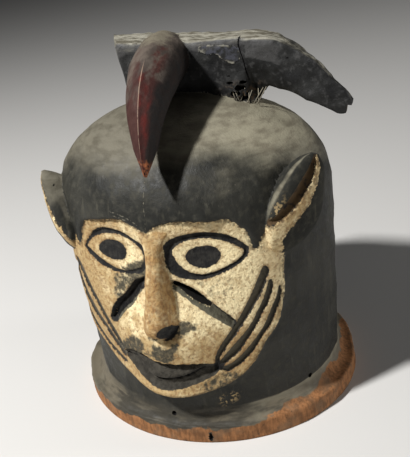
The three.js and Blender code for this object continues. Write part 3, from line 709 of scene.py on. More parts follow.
def make_nose(material):
    """The nose and its bridge, with the slanting cut of the nostril, painted black as nostril and shade.
    """
    mesh, turn, row, share = tube(NOSE["columns"], NOSE["rows"])
    curve = smooth_curve(NOSE_ROWS, 12)
    z = np.interp(row / NOSE["rows"], np.linspace(0, 1, len(curve)), curve[:, 0])
    middle, half_front, half_root, front = (np.interp(z, curve[:, 0], curve[:, k]) for k in range(1, 5))
    face = head_front(np.zeros(len(z)), z) + face_form(np.zeros(len(z)), z)
    across = np.sign(np.sin(turn)) * np.abs(np.sin(turn)) ** NOSE["squareness"]
    ahead = np.sign(np.cos(turn)) * np.abs(np.cos(turn)) ** NOSE["squareness"]
    back = face + NOSE["root"]
    y = (front + back) / 2 - share * ahead * (back - front) / 2
    half = lerp(half_front, half_root, np.clip((y - front) / (face - front), 0, 1))
    points = np.stack([middle + share * half * across, y, z], -1)
    points[:, 0] += NOSE["unevenness"] * waves(points, *WAVES["nose"]) * share
    facing = np.array(NOSTRIL_FACING) / np.linalg.norm(NOSTRIL_FACING)
    beyond = (points - NOSTRIL_PLACE) @ facing
    points -= facing * np.maximum(0, beyond)[:, None]
    move_to(mesh, points)
    clay = np.minimum(12, inside(face_outline(), points[:, 0], z))
    ochre = lerp(1, 0.6, smoothstep(z, 196, 214))
    # The nostril's cut face gets black paint: the nostril, and painted shade under the tip
    return finish_part(mesh, "nose", material, PART["nose"], clay=clay, ochre=ochre, stroke=beyond - 0.4,
                       dull=0.7)


def ear_frame(ear):
    """Foot and tip of an ear, and the directions out of the head and across the ear."""
    base, tip = (np.array([ear["side"] * place[0], place[1], place[2]], float)
                 for place in (ear["base"], ear["tip"]))
    along = (tip - base) / np.linalg.norm(tip - base)
    outward = np.array([base[0], base[1], 0]) / np.hypot(base[0], base[1])
    outward -= along * (outward @ along)
    outward /= np.linalg.norm(outward)
    return base, tip, outward, np.cross(along, outward)


def ear_paint(ear, t, ahead, back):
    """Depth of the ear's groove and the marks of its paint, at each share t of its height, and each
    distance ahead of its middle and back towards the back of the head."""
    groove_from, groove_to, clay_to = (level(ear[line], t)
                                       for line in ("groove_from", "groove_to", "clay_to"))
    middle, half = (groove_from + groove_to) / 2, np.maximum(1, (groove_to - groove_from) / 2)
    front = smoothstep(ahead, 0, 0.35)
    wood = np.where((ahead > 0) & (ear["bare"] > 0), half - np.abs(back - middle), FAR_OUT)
    groove = 1 - smoothstep(np.abs(back - middle), 0.35 * half, half + 1)
    sink = EAR_GROOVE_DEPTH * groove * front * smoothstep(t, 0.12, 0.3) * (1 - smoothstep(t, 0.9, 1))
    clay = np.where(ahead > -0.2, np.minimum(back - groove_to, clay_to - back), FAR_OUT)
    edge = 1 - smoothstep(np.abs(ahead), 0.1, 0.36)
    dust = (EAR_DUST["front"] + EAR_DUST["edge"] * edge) * smoothstep(-back, 0, 5)
    dust *= smoothstep(t, 0.15, 0.4)
    whole = (1 - ear["bare"]) * EAR_DUST["whole"] * smoothstep(t, 0.35, 0.65) * (clay < 0)
    fleck = ear["bare"] * front * bell((t - 0.42) / 0.1) * bell((back + 18) / 5)
    return sink, {"clay": clay, "wood": wood, "dust": np.maximum(dust, whole), "fleck": fleck}


def make_ear(ear, material):
    """A leaf-shaped ear with its groove."""
    mesh, turn, row, share = tube(EAR["columns"], EAR["rows"])
    base, tip, outward, across = ear_frame(ear)
    side = ear["side"]
    t = row / EAR["rows"]
    blunt = lerp(0.85, 0.5, smoothstep(t, 0.5, 0.95))
    width = np.sin(np.pi * np.minimum(0.99, 0.04 + 0.96 * t) ** 0.85) ** blunt
    ahead = np.cos(turn)
    behind = EAR["root"] * (1 - t ** 6) + 2
    stand = np.where(ahead > 0, EAR["rise"] * np.maximum(0.15, width), behind)
    ahead = np.where(ahead > 0, np.abs(ahead) ** EAR_FULLNESS, ahead)
    sideways = EAR["shift"] * side * width + share * EAR["half_width"] * width * np.sin(turn)
    sink, marks = ear_paint(ear, t, ahead, side * sideways)
    reach = (share * stand * ahead - sink)[:, None]
    points = lerp(base, tip, t[:, None]) + outward * reach + across * sideways[:, None]
    points += outward * (EAR["unevenness"] * waves(points, *WAVES["ear"]) * share)[:, None]
    move_to(mesh, points)
    return finish_part(mesh, "ear", material, PART["ear"], dull=EAR["dull"], ochre=EAR["ochre"], **marks)


# Crest and beak

def crest_wall(turn, row, share):
    """Where the crest's skin lies, as x and z, how far back that is, and the share of its height."""
    pairs = smooth_curve([upper + lower for upper, lower in CREST_EDGES], 8)
    spot = np.concatenate([[0], np.cumsum(np.linalg.norm(np.diff(pairs[:, :2], axis=0), axis=1))])
    at = row / CREST["rows"] * spot[-1]
    top_x, top_z, low_x, low_z = (np.interp(at, spot, pairs[:, k]) for k in range(4))
    reach = (np.abs(np.sin(turn)) ** CREST["squareness"]
             + np.abs(np.cos(turn)) ** CREST["squareness"]) ** (-1 / CREST["squareness"])
    up = 0.5 + 0.5 * share * reach * np.cos(turn)
    deep = 0.5 - 0.5 * share * reach * np.sin(turn)
    x, z = lerp(low_x, top_x, up), lerp(low_z, top_z, up)
    thin = smoothstep(x, CREST["thin_from"], CREST["thin_to"])
    back = deep * lerp(CREST["thickness"], CREST["tip"], thin)
    under_ridge = np.maximum(0, level(WING_LINE, x) - z) * (x > WING_LINE[0][0])
    back += WING_SLOPE * under_ridge * (1 - deep) * smoothstep(x, 61, 66)
    return x, z, back, up


def make_crest(material):
    """The slab on top of the head, with the wing that droops from its end."""
    mesh, turn, row, share = tube(CREST["columns"], CREST["rows"])
    x, z, back, up = crest_wall(turn, row, share)
    skew = CREST["skew"] * smoothstep(-x, CREST["skew_from"], CREST["skew_to"])
    lift = CREST["lift"] * back * up * (1 - smoothstep(x, 10, 60))
    points = np.stack([x - back * skew, CREST["front"] + back, z + lift], -1)
    move_to(mesh, points)
    normals = normals_of(mesh)
    decay = smoothstep(-z, -316, -302) * bell((x - 59) / 16)
    worn_edge = smoothstep(z - level(CREST_WORN_EDGE, x), -7, 0)
    height = 1.1 * scoops(points, **SCOOPS["crest"]) - 0.5
    height += decay * (2 * waves(points, *WAVES["rot"]) - 1.2)
    height += 0.5 * waves(points, *WAVES["crest_edge"]) * worn_edge
    move_to(mesh, points + normals * height[:, None])
    front = (back < 12) & (normals[:, 1] < 0)
    flake = np.where(front, inside(np.array(FLAKE, float), x, z), FAR_OUT)
    top = smoothstep(normals[:, 2], 0.3, 0.75) * lerp(1, 0.45, smoothstep(x, 62, 110))
    dust = np.maximum(top, front * 0.36 * smoothstep(z, 341, 351) * (x < 66))
    # Paler above the wing's ridge, painted light on the upper facet, and in a band along the top of the
    # front
    lit_over_ridge = smoothstep(z - level(WING_LINE, x), -1, 4) * (1 - smoothstep(x, 84, 104))
    pale = front * np.where(x > 63, lit_over_ridge, smoothstep(z, 338, 346))
    return finish_part(mesh, "crest", material, PART["crest"], dust=dust, flake=flake, along=decay,
                       faded=pale)


def bezier(points, t):
    """Places along a line that bends towards the middle points, and its direction there."""
    a, b, c, d = (np.array(point, float) for point in points)
    t = t[:, None]
    place = (1 - t) ** 3 * a + 3 * t * (1 - t) ** 2 * b + 3 * t ** 2 * (1 - t) * c + t ** 3 * d
    along = (1 - t) ** 2 * (b - a) + 2 * t * (1 - t) * (c - b) + t ** 2 * (d - c)
    return place, along / np.linalg.norm(along, axis=1)[:, None]


def make_beak(material):
    """The beak that curves forward and down from the crest, with a ridge along its top."""
    mesh, turn, row, share = tube(BEAK["columns"], BEAK["rows"])
    t = row / BEAK["rows"]
    place, along = bezier(BEAK_SPINE, t)
    down = np.cross((1, 0, 0), along)
    down /= np.linalg.norm(down, axis=1)[:, None]
    side = np.cross(along, down)
    size = share * (1 - BEAK["taper"] * t ** BEAK["fullness"])
    lean, below = np.sin(turn), np.cos(turn)
    from_ridge = np.where(lean < 0, -1, 1) * (math.pi - np.abs(turn))
    width = size * BEAK["half_width"] * np.sign(lean) * np.abs(lean) ** BEAK["sharpness"]
    under = BEAK["under"] * (1 + BEAK["blunt"] * smoothstep(t, 0.6, 0.95))
    height = size * below * np.where(below > 0, under, BEAK["ridge"])
    height -= BEAK["keel"] * share * bell(from_ridge / 0.22) * smoothstep(t, 0.3, 0.6)
    points = place + side * width[:, None] + down * height[:, None]
    move_to(mesh, points)
    normals = normals_of(mesh)
    move_to(mesh, points + normals * (0.6 * scoops(points, **SCOOPS["beak"]) - 0.3)[:, None])
    dust = smoothstep(normals[:, 2], 0.6, 1) * (1 - smoothstep(t, 0.2, 0.34))
    return finish_part(mesh, "beak", material, PART["beak"], turn=from_ridge, along=t, dust=dust)


# Cuts

def block(centre, size, turn=None, cuts=0):
    """A box, with its edges cut into shorter ones where asked."""
    bm = bmesh.new()
    bmesh.ops.create_cube(bm, size=1)
    if cuts:
        bmesh.ops.subdivide_edges(bm, edges=bm.edges, cuts=cuts, use_grid_fill=True)
    bmesh.ops.scale(bm, vec=size, verts=bm.verts)
    if turn:
        bmesh.ops.rotate(bm, matrix=turn, verts=bm.verts)
    bmesh.ops.translate(bm, vec=centre, verts=bm.verts)
    return bm


def cutter(bm, name, material):
    """A piece that only cuts, and leaves its material in the cut."""
    mesh = bpy.data.meshes.new(name)
    bm.to_mesh(mesh)
    bm.free()
    return finish_part(mesh, name, material, PART["cut"])


def slit_cutter(places, material):
    """A blade through the face along the given places, as wide as each of them says."""
    bm = block((0, SLIT_BLADE["y"], 0), (1, SLIT_BLADE["length"], 1), cuts=SLIT_BLADE["cuts"])
    x, z, wide = smooth_curve(places, 8).T
    for vert in bm.verts:
        at = (vert.co.x + 0.5) * (len(x) - 1)
        middle_x, middle_z, width = (np.interp(at, range(len(x)), line) for line in (x, z, wide))
        slope = np.interp(at, range(len(x)), np.gradient(z) / np.gradient(x))
        lean = math.hypot(1, slope)
        aside = vert.co.z * (width + 0.5 * math.sin(1.3 * at))
        vert.co.x = middle_x - aside * slope / lean
        vert.co.z = middle_z + aside / lean
    return cutter(bm, "slit", material)


def crack_cutter(material):
    """A thin blade along the crack through the crest's front and top."""
    depth = CRACK_BLADE["depth"]
    bm = block((0, CREST["front"], 0), (1, depth, 1), cuts=CRACK_BLADE["cuts"])
    crack = smooth_curve(CREST_CRACK)
    for vert in bm.verts:
        z = lerp(crack[-1, 1], crack[0, 1], 0.5 + vert.co.z)
        deep = (vert.co.y - CREST["front"] + depth / 2) / depth
        width = lerp(CRACK_BLADE["width"], CRACK_BLADE["width_within"], deep)
        vert.co.x = np.interp(z, crack[::-1, 1], crack[::-1, 0]) + vert.co.x * width
        vert.co.z = z
    return cutter(bm, "crack", material)


def hole_cutter(degrees, z, material):
    bm = bmesh.new()
    place = (Matrix.Rotation(math.radians(degrees), 4, "Z") @ Matrix.Translation((0, TIE_HOLE["y"], z))
             @ Matrix.Rotation(math.radians(90), 4, "X"))
    bmesh.ops.create_cone(bm, cap_ends=True, segments=20, radius1=TIE_HOLE["radius"],
                          radius2=TIE_HOLE["radius"], depth=TIE_HOLE["length"], matrix=place)
    return cutter(bm, "tie_hole", material)


def lump(centre, size, rough, seed, name, material):
    """A ball with a rough skin, to cut a broken or decayed place."""
    bm = bmesh.new()
    bmesh.ops.create_icosphere(bm, subdivisions=4 if max(size) > LARGE_LUMP else 2, radius=1)
    bmesh.ops.scale(bm, vec=size, verts=bm.verts)
    bmesh.ops.translate(bm, vec=centre, verts=bm.verts)
    piece = cutter(bm, name, material)
    points = points_of(piece.data)
    swell = rough * waves(points, max(5, max(size)), seed)
    move_to(piece.data, points + normals_of(piece.data) * swell[:, None])
    return piece


def chip_cutter(material):
    """The step of the chip at the wing's tip."""
    x, z = TIP_CHIP["place"]
    bm = block((x, CREST["front"] + CREST["tip"] / 2, z), TIP_CHIP["size"],
               Matrix.Rotation(math.radians(TIP_CHIP["turn"]), 3, "Y"))
    return cutter(bm, "chip", material)


def carve(head, added, removed):
    """Joins the added pieces to the head and cuts the others out of it."""
    for operation, pieces in (("UNION", added), ("DIFFERENCE", removed)):
        for piece in pieces:
            change = head.modifiers.new(piece.name, "BOOLEAN")
            change.operation = operation
            change.solver = "MANIFOLD"
            change.material_mode = "TRANSFER"
            change.object = piece
    carved = bpy.data.meshes.new_from_object(head.evaluated_get(bpy.context.evaluated_depsgraph_get()))
    head.modifiers.clear()
    head.data = carved
    for piece in added + removed:
        bpy.data.objects.remove(piece)
    return carved


def fill_marks(bm):
    """Gives the points that the cuts and joins made the marks of the skin round them."""
    layers = [bm.verts.layers.float[mark] for mark in EDGES + SHARES]
    part, known = (bm.verts.layers.float[mark] for mark in ("part", "known"))
    blank = [vert for vert in bm.verts if vert[known] < 0.5]
    while blank:
        found = []
        for vert in blank:
            near = [edge.other_vert(vert) for edge in vert.link_edges]
            near = [other for other in near if other[known] > 0.5]
            skin = [other for other in near if other[part] < PART["cut"]] or near
            if skin:
                found.append((vert, [sum(other[layer] for other in skin) / len(skin) for layer in layers]))
        for vert, values in found:
            for layer, value in zip(layers, values):
                vert[layer] = value
        blank = [vert for vert in blank if vert[known] < 0.5] if found else []


def soften_joins(mesh):
    """Runs the roots of the nose, ears, crest and beak into the wood that they grow from."""
    bm = bmesh.new()
    bm.from_mesh(mesh)
    fill_marks(bm)
    part = bm.verts.layers.float["part"]
    joins = set()
    for edge in bm.edges:
        a, b = (vert[part] for vert in edge.verts)
        if abs(a - b) > 0.01 and max(a, b) < PART["splinters"]:
            joins.update(edge.verts)
    for _ in range(JOIN["rings"]):
        joins |= {edge.other_vert(vert) for vert in joins for edge in vert.link_edges}
    for _ in range(JOIN["passes"]):
        bmesh.ops.smooth_vert(bm, verts=list(joins), factor=0.5, use_axis_x=True, use_axis_y=True,
                              use_axis_z=True)
    bm.to_mesh(mesh)
    bm.free()


def make_splinters(material):
    """Dry fibres that stand between the crest's decayed foot and the crown."""
    bm = bmesh.new()
    for number, ((x0, z0), (x1, z1)) in enumerate(SPLINTERS):
        top = Vector((x0, CREST["front"] + 1.5 + 1.5 * (number % 3), z0 + 1))
        foot = Vector((x1, CREST["front"] - 2 + 1.5 * (number % 2), z1))
        turn = (top - foot).to_track_quat("Z", "Y").to_matrix().to_4x4()
        place = Matrix.Translation((top + foot) / 2) @ turn
        bmesh.ops.create_cone(bm, cap_ends=True, segments=6, radius1=FIBRE["foot"], radius2=FIBRE["top"],
                              depth=(top - foot).length, matrix=place)
    mesh = bpy.data.meshes.new("crest_splinters")
    bm.to_mesh(mesh)
    bm.free()
    move_to(mesh, (points_of(mesh) + SHIFT) / 1000)
    return finish_part(mesh, "crest_splinters", material, PART["splinters"])


# Paint

def tone(red, green, blue):
    """A colour given as a screen shows it, in 0 to 255."""
    shares = [value / 255 for value in (red, green, blue)]
    return [s / 12.92 if s <= 0.04045 else ((s + 0.055) / 1.055) ** 2.4 for s in shares] + [1]


# Colours as a screen shows them: each paint or wood, then its paler, darker and worn places
SOOT, SOOT_PALE, SOOT_WORN = (29, 29, 25), (48, 47, 41), (76, 73, 62)
# The crest's dust tone also paints the highlight round its flaked patch
DUST, DUST_DARK, CREST_DUST = (112, 107, 93), (92, 87, 74), (154, 150, 136)
# Paler dust for the viewer's right of the crown, partly painted light; the darker one is also the beak's
# dust
DUST_AND_LIGHT_RIGHT, DUST_AND_LIGHT_RIGHT_DARK = (147, 141, 121), (120, 113, 96)
CLAY, CLAY_DULL, PIT = (244, 226, 180), (183, 157, 112), (72, 57, 40)
OCHRE, OCHRE_DARK = (178, 140, 88), (128, 92, 56)
# The smudge tones also paint the nose's shadow
SMUDGE_AND_SHADOW, SMUDGE_AND_SHADOW_PALE, SLOPE, SLOPE_PALE = (54, 53, 46), (88, 82, 66), (80, 76, 63), (102, 98, 82)
LIP, LIP_PALE = (46, 43, 37), (70, 66, 58)
INK, INK_PALE, FADED = (27, 26, 26), (50, 48, 44), (98, 92, 78)
BARE_WOOD, BARE_WOOD_DARK, BARE_WOOD_GREY = (162, 112, 71), (114, 77, 47), (112, 94, 74)
GROOVE_WOOD, FLANGE, FLANGE_PALE = (80, 62, 40), (62, 58, 49), (107, 99, 83)
# The worn slate also paints light above the crest wing's ridge
SLATE, SLATE_PALE, SLATE_WORN_AND_LIT, FLAKE_BLUE = (20, 20, 20), (38, 38, 37), (80, 79, 78), (68, 69, 76)
ROT = (12, 11, 9)
MAUVE, MAUVE_PALE = (62, 54, 48), (92, 82, 73)
RED, RED_DULL, RED_BROWN = (84, 22, 15), (50, 20, 15), (60, 30, 24)
# Near-black painted shade for the beak's right flank and underside
FLANK_SHADE, FLANK_SHADE_PALE = (20, 15, 13), (38, 29, 25)
# Pale wood on the ridge, which also paints its highlight, and the wood at the tip
RIDGE_WORN_AND_LIT, TIP_WOOD = (150, 126, 108), (150, 88, 52)
# Near-black painted shade for the depth of cut holes, slits, the crack and the rim's gouge
HOLE_SHADE = ((12, 11, 10), (26, 22, 18))
BROKEN = ((34, 30, 26), (66, 54, 42))
DRY = ((120, 114, 100), (150, 142, 124))
# How deep the paint's finest relief is in metres, and how rough the noise in it is
RELIEF_DEPTH = 0.001
GRAIN_ROUGHNESS = 0.55


class Coat:
    """Nodes of one material, with layers of colour, roughness and relief."""

    def __init__(self, name):
        self.material = bpy.data.materials.new(name)
        self.material.use_nodes = True
        self.tree = self.material.node_tree
        self.shader = self.tree.nodes["Principled BSDF"]
        self.place = self.node("ShaderNodeTexCoord").outputs["Object"]

    def node(self, kind, inputs=None, **settings):
        node = self.tree.nodes.new(kind)
        for name, value in settings.items():
            setattr(node, name, value)
        for key, value in (inputs or {}).items():
            if isinstance(value, bpy.types.NodeSocket):
                self.tree.links.new(value, node.inputs[key])
            else:
                node.inputs[key].default_value = value
        return node

    def mark(self, name):
        return self.node("ShaderNodeAttribute", attribute_name=name).outputs["Fac"]

    def axis(self, name):
        return self.node("ShaderNodeSeparateXYZ", {0: self.place}).outputs[name]

    def math(self, operation, a, b=0.0):
        return self.node("ShaderNodeMath", {0: a, 1: b}, operation=operation).outputs[0]

    def add(self, a, b):
        return self.math("ADD", a, b)

    def times(self, a, b):
        return self.math("MULTIPLY", a, b)

    def step(self, value, low, high, start=0.0, end=1.0):
        """Goes smoothly from start to end while the value goes from low to high."""
        return self.node("ShaderNodeMapRange", {"Value": value, "From Min": low, "From Max": high,
                                                "To Min": start, "To Max": end},
                         interpolation_type="SMOOTHSTEP").outputs[0]

    def grain(self, size, detail=4, stretch=(1, 1, 1), shift=0.0):
        """Noise of 0 to 1 whose spots are about size mm across."""
        place = self.node("ShaderNodeMapping", {"Vector": self.place, "Scale": stretch,
                                                "Location": (shift, shift, shift)}).outputs[0]
        return self.node("ShaderNodeTexNoise", {"Vector": place, "Scale": 1000 / size, "Detail": detail,
                                                "Roughness": GRAIN_ROUGHNESS}).outputs["Fac"]

    def spots(self, size, detail, low, high, start=0.0, end=1.0, **shape):
        """Grain that goes from start to end while its noise goes from low to high."""
        return self.step(self.grain(size, detail, **shape), low, high, start, end)

    def area(self, name, ragged, size=4.0, soft=0.35, shift=0.0):
        """Share of paint in a marked area, whose edge wanders by up to ragged mm."""
        wander = self.spots(size, 5, 0.3, 0.7, -ragged, ragged, shift=shift)
        return self.step(self.add(self.mark(name), wander), -soft, soft)

    def mix(self, share, under, over):
        """One colour over another: each is a tone, or what a node gives."""
        under, over = (colour if isinstance(colour, bpy.types.NodeSocket) else tone(*colour)
                       for colour in (under, over))
        return self.node("ShaderNodeMix", {0: share, 6: under, 7: over}, data_type="RGBA").outputs[2]

    def blend(self, share, under, over):
        """One number over another, as mix does with colours."""
        return self.node("ShaderNodeMix", {0: share, 2: under, 3: over}).outputs[0]

    def finish(self, colour, roughness, height):
        bump = self.node("ShaderNodeBump", {"Height": height, "Distance": RELIEF_DEPTH, "Strength": 1.0})
        for key, value in (("Base Color", colour), ("Roughness", roughness), ("Normal", bump.outputs[0])):
            self.tree.links.new(value, self.shader.inputs[key])
        self.shader.inputs["Specular IOR Level"].default_value = 0.3
        return self.material


def soot(coat, fine):
    """Soot-black paint, paler where it is worn and in the streaks of the brush."""
    black = coat.mix(coat.spots(45, 4, 0.35, 0.65), SOOT, SOOT_PALE)
    black = coat.mix(coat.step(fine, 0.45, 0.75, 0, 0.45), black, SOOT_WORN)
    brushed = coat.spots(6, 4, 0.6, 0.72, 0, 0.5, stretch=(1, 1, 0.1), shift=3.0)
    return coat.mix(brushed, black, SOOT_WORN)


def dusted(coat, colour):
    """Dust over the black, wiped in streaks, and paler on the viewer's right, which is partly painted
    light.
    """
    drift = coat.spots(30, 7, 0.25, 0.75, -0.15, 0.15, stretch=(0.6, 0.6, 1.2), shift=5.5)
    dust = coat.step(coat.add(coat.mark("dust"), drift), 0.25, 0.75, 0, 0.94)
    wiped = coat.spots(7, 5, 0.4, 0.66, stretch=(0.35, 0.35, 1.4), shift=4.1)
    # Paler towards the viewer's right: dust and painted light on the crown
    right = coat.step(coat.axis("X"), -0.01, 0.075)
    dust_tone = coat.mix(right, coat.mix(wiped, DUST, DUST_DARK),
                         coat.mix(wiped, DUST_AND_LIGHT_RIGHT, DUST_AND_LIGHT_RIGHT_DARK))
    return coat.mix(dust, colour, dust_tone)


def clay_white(coat):
    """Clay white, duller in clouds and where the dull share paints shade, with ochre, stains, mottling and
    pits.
    """
    # The dull share darkens the clay, and on the viewer's left this is painted shade
    clouds = coat.add(coat.mark("dull"), coat.spots(15, 6, 0.3, 0.7, -0.45, 0.45))
    cream = coat.mix(coat.step(clouds, 0, 1), CLAY, CLAY_DULL)
    streaks = coat.spots(3.2, 6, 0.36, 0.66, stretch=(1, 1, 0.3), shift=9.0)
    ochre = coat.times(coat.mark("ochre"), coat.spots(7, 5, 0.32, 0.6, 0.2, 0.85))
    cream = coat.mix(ochre, cream, coat.mix(streaks, OCHRE, OCHRE_DARK))
    stained = coat.add(coat.grain(3.4, 7, shift=3.7), coat.times(coat.mark("dull"), 0.05))
    cream = coat.mix(coat.step(stained, 0.5, 0.68, 0, 0.6), cream, OCHRE_DARK)
    mottled = coat.spots(1.9, 4, 0.45, 0.7, 0, 0.4, shift=5.1)
    cream = coat.mix(mottled, cream, OCHRE)
    pits = coat.spots(3.0, 7, 0.62, 0.74, 0, 0.7, shift=8.0)
    return coat.mix(pits, cream, PIT)


def soiled(coat, cream):
    """Dirt beside the black lines and along the edge of the clay, and the smudges on it with the nose's
    painted shadow.
    """
    near = coat.step(coat.mark("stroke"), -2.6, -0.3, 0, 0.5)
    cream = coat.mix(coat.times(near, coat.spots(5, 4, 0.35, 0.6, shift=4.4)), cream, OCHRE_DARK)
    nearer = coat.step(coat.mark("stroke"), -1.6, -0.1, 0, 0.3)
    cream = coat.mix(coat.times(nearer, coat.spots(2.4, 5, 0.5, 0.6, shift=1.9)), cream, INK_PALE)
    edge = coat.step(coat.mark("clay"), 4.5, 0.5, 0, 0.75)
    cream = coat.mix(coat.times(edge, coat.spots(3.4, 5, 0.42, 0.56, shift=2.4)), cream, PIT)
    # Smudges, with the nose's shadow painted among them
    smudge_and_shadow = coat.add(coat.mark("smudge_and_shadow"), coat.spots(4, 8, 0.3, 0.7, -0.34, 0.34, shift=6.4))
    grime_and_shadow = coat.mix(coat.spots(2.6, 5, 0.4, 0.65, shift=0.7), SMUDGE_AND_SHADOW, SMUDGE_AND_SHADOW_PALE)
    return coat.mix(coat.step(smudge_and_shadow, 0.2, 0.95, 0, 0.96), cream, grime_and_shadow)


def lined(coat, colour, fine):
    """The slopes of the slits, the lips, and the black strokes with their faded places."""
    slope_tone = coat.mix(coat.spots(6, 6, 0.36, 0.66), SLOPE, SLOPE_PALE)
    colour = coat.mix(coat.area("slit", 0.5, 3.0), colour, slope_tone)
    lip_tone = coat.mix(coat.step(fine, 0.35, 0.7), LIP, LIP_PALE)
    colour = coat.mix(coat.area("lip", 0.3, 3.0), colour, lip_tone)
    faded = coat.times(coat.mark("faded"), coat.spots(5, 5, 0.2, 0.5, 0.4, 1, shift=1.3))
    ink = coat.mix(coat.step(fine, 0.4, 0.7), INK, INK_PALE)
    return coat.mix(coat.area("stroke", 0.45, 2.4, shift=5.0), colour, coat.mix(faded, ink, FADED))


def rim_worn(coat, colour):
    """Brown-grey wood with chisel marks on the flange of the rim."""
    flange = coat.times(coat.step(coat.axis("Z"), 0.040, 0.026), coat.spots(20, 7, 0.3, 0.55, 0.5, 0.95))
    chiselled = coat.spots(8, 7, 0.3, 0.7, -0.4, 0.4, stretch=(0.3, 0.3, 1.6), shift=3.3)
    pale = coat.add(coat.mark("dust"), chiselled)
    return coat.mix(flange, colour, coat.mix(coat.step(pale, 0.2, 0.95), FLANGE, FLANGE_PALE))


def bare_wood(coat, fibres):
    """Bare brown wood with grey clouds and dark pits."""
    worn = coat.add(coat.times(fibres, 0.5), coat.times(coat.grain(9, 7), 0.5))
    bare = coat.mix(coat.step(worn, 0.38, 0.62), BARE_WOOD, BARE_WOOD_DARK)
    bare = coat.mix(coat.spots(24, 5, 0.46, 0.68, 0, 0.7), bare, BARE_WOOD_GREY)
    return coat.mix(coat.spots(4, 6, 0.64, 0.7, 0, 0.6, shift=2.9), bare, PIT)


def painted_wood():
    """Soot-black paint over bare wood, a clay-white face with its black lines, dust and wear."""
    coat = Coat("painted_wood")
    fine, fibres = coat.grain(6, 6), coat.grain(2.4, 6, (1, 1, 0.16), shift=6.0)
    colour = dusted(coat, soot(coat, fine))
    clay = coat.area("clay", 0.9, 3.0)
    colour = coat.mix(clay, colour, soiled(coat, clay_white(coat)))
    fleck = coat.times(coat.mark("fleck"), coat.spots(3, 4, 0.52, 0.57, shift=7.7))
    colour = coat.mix(fleck, colour, CLAY_DULL)
    scratched = coat.add(coat.mark("scratch"), coat.spots(3, 4, 0.35, 0.6, 0, 0.85))
    scratched = coat.step(scratched, 0.05, 0.5)
    colour = coat.mix(scratched, colour, DUST)
    colour = lined(coat, colour, fine)
    groove_tone = coat.mix(coat.step(fine, 0.45, 0.7), GROOVE_WOOD, INK)
    colour = coat.mix(coat.area("wood", 0.8, 3.0, shift=2.0), colour, groove_tone)
    raw = coat.math("MAXIMUM", coat.area("raw", 3.5, 26.0, 0.8, shift=1.0), coat.mark("hollow"))
    colour = coat.mix(raw, rim_worn(coat, colour), bare_wood(coat, fibres))

    rough = coat.blend(clay, coat.step(fine, 0.3, 0.7, 0.5, 0.72), 0.9)
    rough = coat.blend(raw, rough, 0.85)
    on_ears = coat.step(coat.mark("part"), 1.3, 1.9)
    rough = coat.blend(on_ears, rough, 0.92)
    crust = coat.times(coat.grain(2.4, 6, shift=4.0), coat.blend(clay, 0.35, 1.3))
    relief = coat.add(crust, coat.times(coat.grain(0.9, 3), 0.2))
    relief = coat.add(relief, coat.times(fibres, 0.3))
    relief = coat.add(relief, coat.times(scratched, -0.3))
    return coat.finish(colour, rough, relief)


def crest_paint():
    """Blue-black paint in flaking layers, with dust along the top, and painted light above the wing's
    ridge and at the flake's edge.
    """
    coat = Coat("crest_paint")
    fine = coat.grain(5, 6)
    black = coat.mix(coat.spots(20, 5, 0.35, 0.65), SLATE, SLATE_PALE)
    black = coat.mix(coat.step(fine, 0.52, 0.72, 0, 0.45), black, SLATE_WORN_AND_LIT)
    # Paler where the crest is marked: painted light above the wing's ridge, and a band along the front's
    # top
    streaks = coat.spots(7, 6, 0.3, 0.7, -0.3, 0.3, stretch=(0.4, 1, 1), shift=2.6)
    pale = coat.step(coat.add(coat.mark("faded"), streaks), 0.35, 0.95, 0, 0.56)
    black = coat.mix(pale, black, SLATE_WORN_AND_LIT)
    patch = coat.area("flake", 1.2, 5.0)
    patch_tone = coat.mix(coat.step(fine, 0.35, 0.6), FLAKE_BLUE, SLATE_PALE)
    black = coat.mix(patch, black, patch_tone)
    # A pale rim inside the flaked patch's edge: painted highlight on the raised flake
    ragged = coat.times(patch, coat.spots(6, 4, 0.46, 0.58, shift=3.1))
    flake_edge_highlight = coat.times(ragged, coat.step(coat.mark("flake"), 2.2, 0.0))
    black = coat.mix(coat.times(flake_edge_highlight, 0.75), black, CREST_DUST)
    rot = coat.times(coat.mark("along"), coat.spots(5, 5, 0.35, 0.5, shift=4.0))
    black = coat.mix(rot, black, coat.mix(coat.step(fine, 0.5, 0.6), ROT, GROOVE_WOOD))
    drift = coat.spots(8, 6, 0.3, 0.7, -0.22, 0.22, stretch=(0.3, 1, 1))
    dust = coat.step(coat.add(coat.mark("dust"), drift), 0.2, 0.8, 0, 0.95)
    dust_tone = coat.mix(coat.spots(4, 5, 0.4, 0.62, stretch=(0.2, 1, 1)), CREST_DUST, DUST_DARK)
    colour = coat.mix(dust, black, dust_tone)
    relief = coat.add(coat.times(fine, 0.8), coat.times(patch, 0.5))
    relief = coat.add(relief, coat.times(coat.grain(1.1, 3), 0.25))
    gloss = coat.step(fine, 0.3, 0.7, 0.5, 0.72)
    return coat.finish(colour, coat.blend(patch, gloss, 0.36), relief)


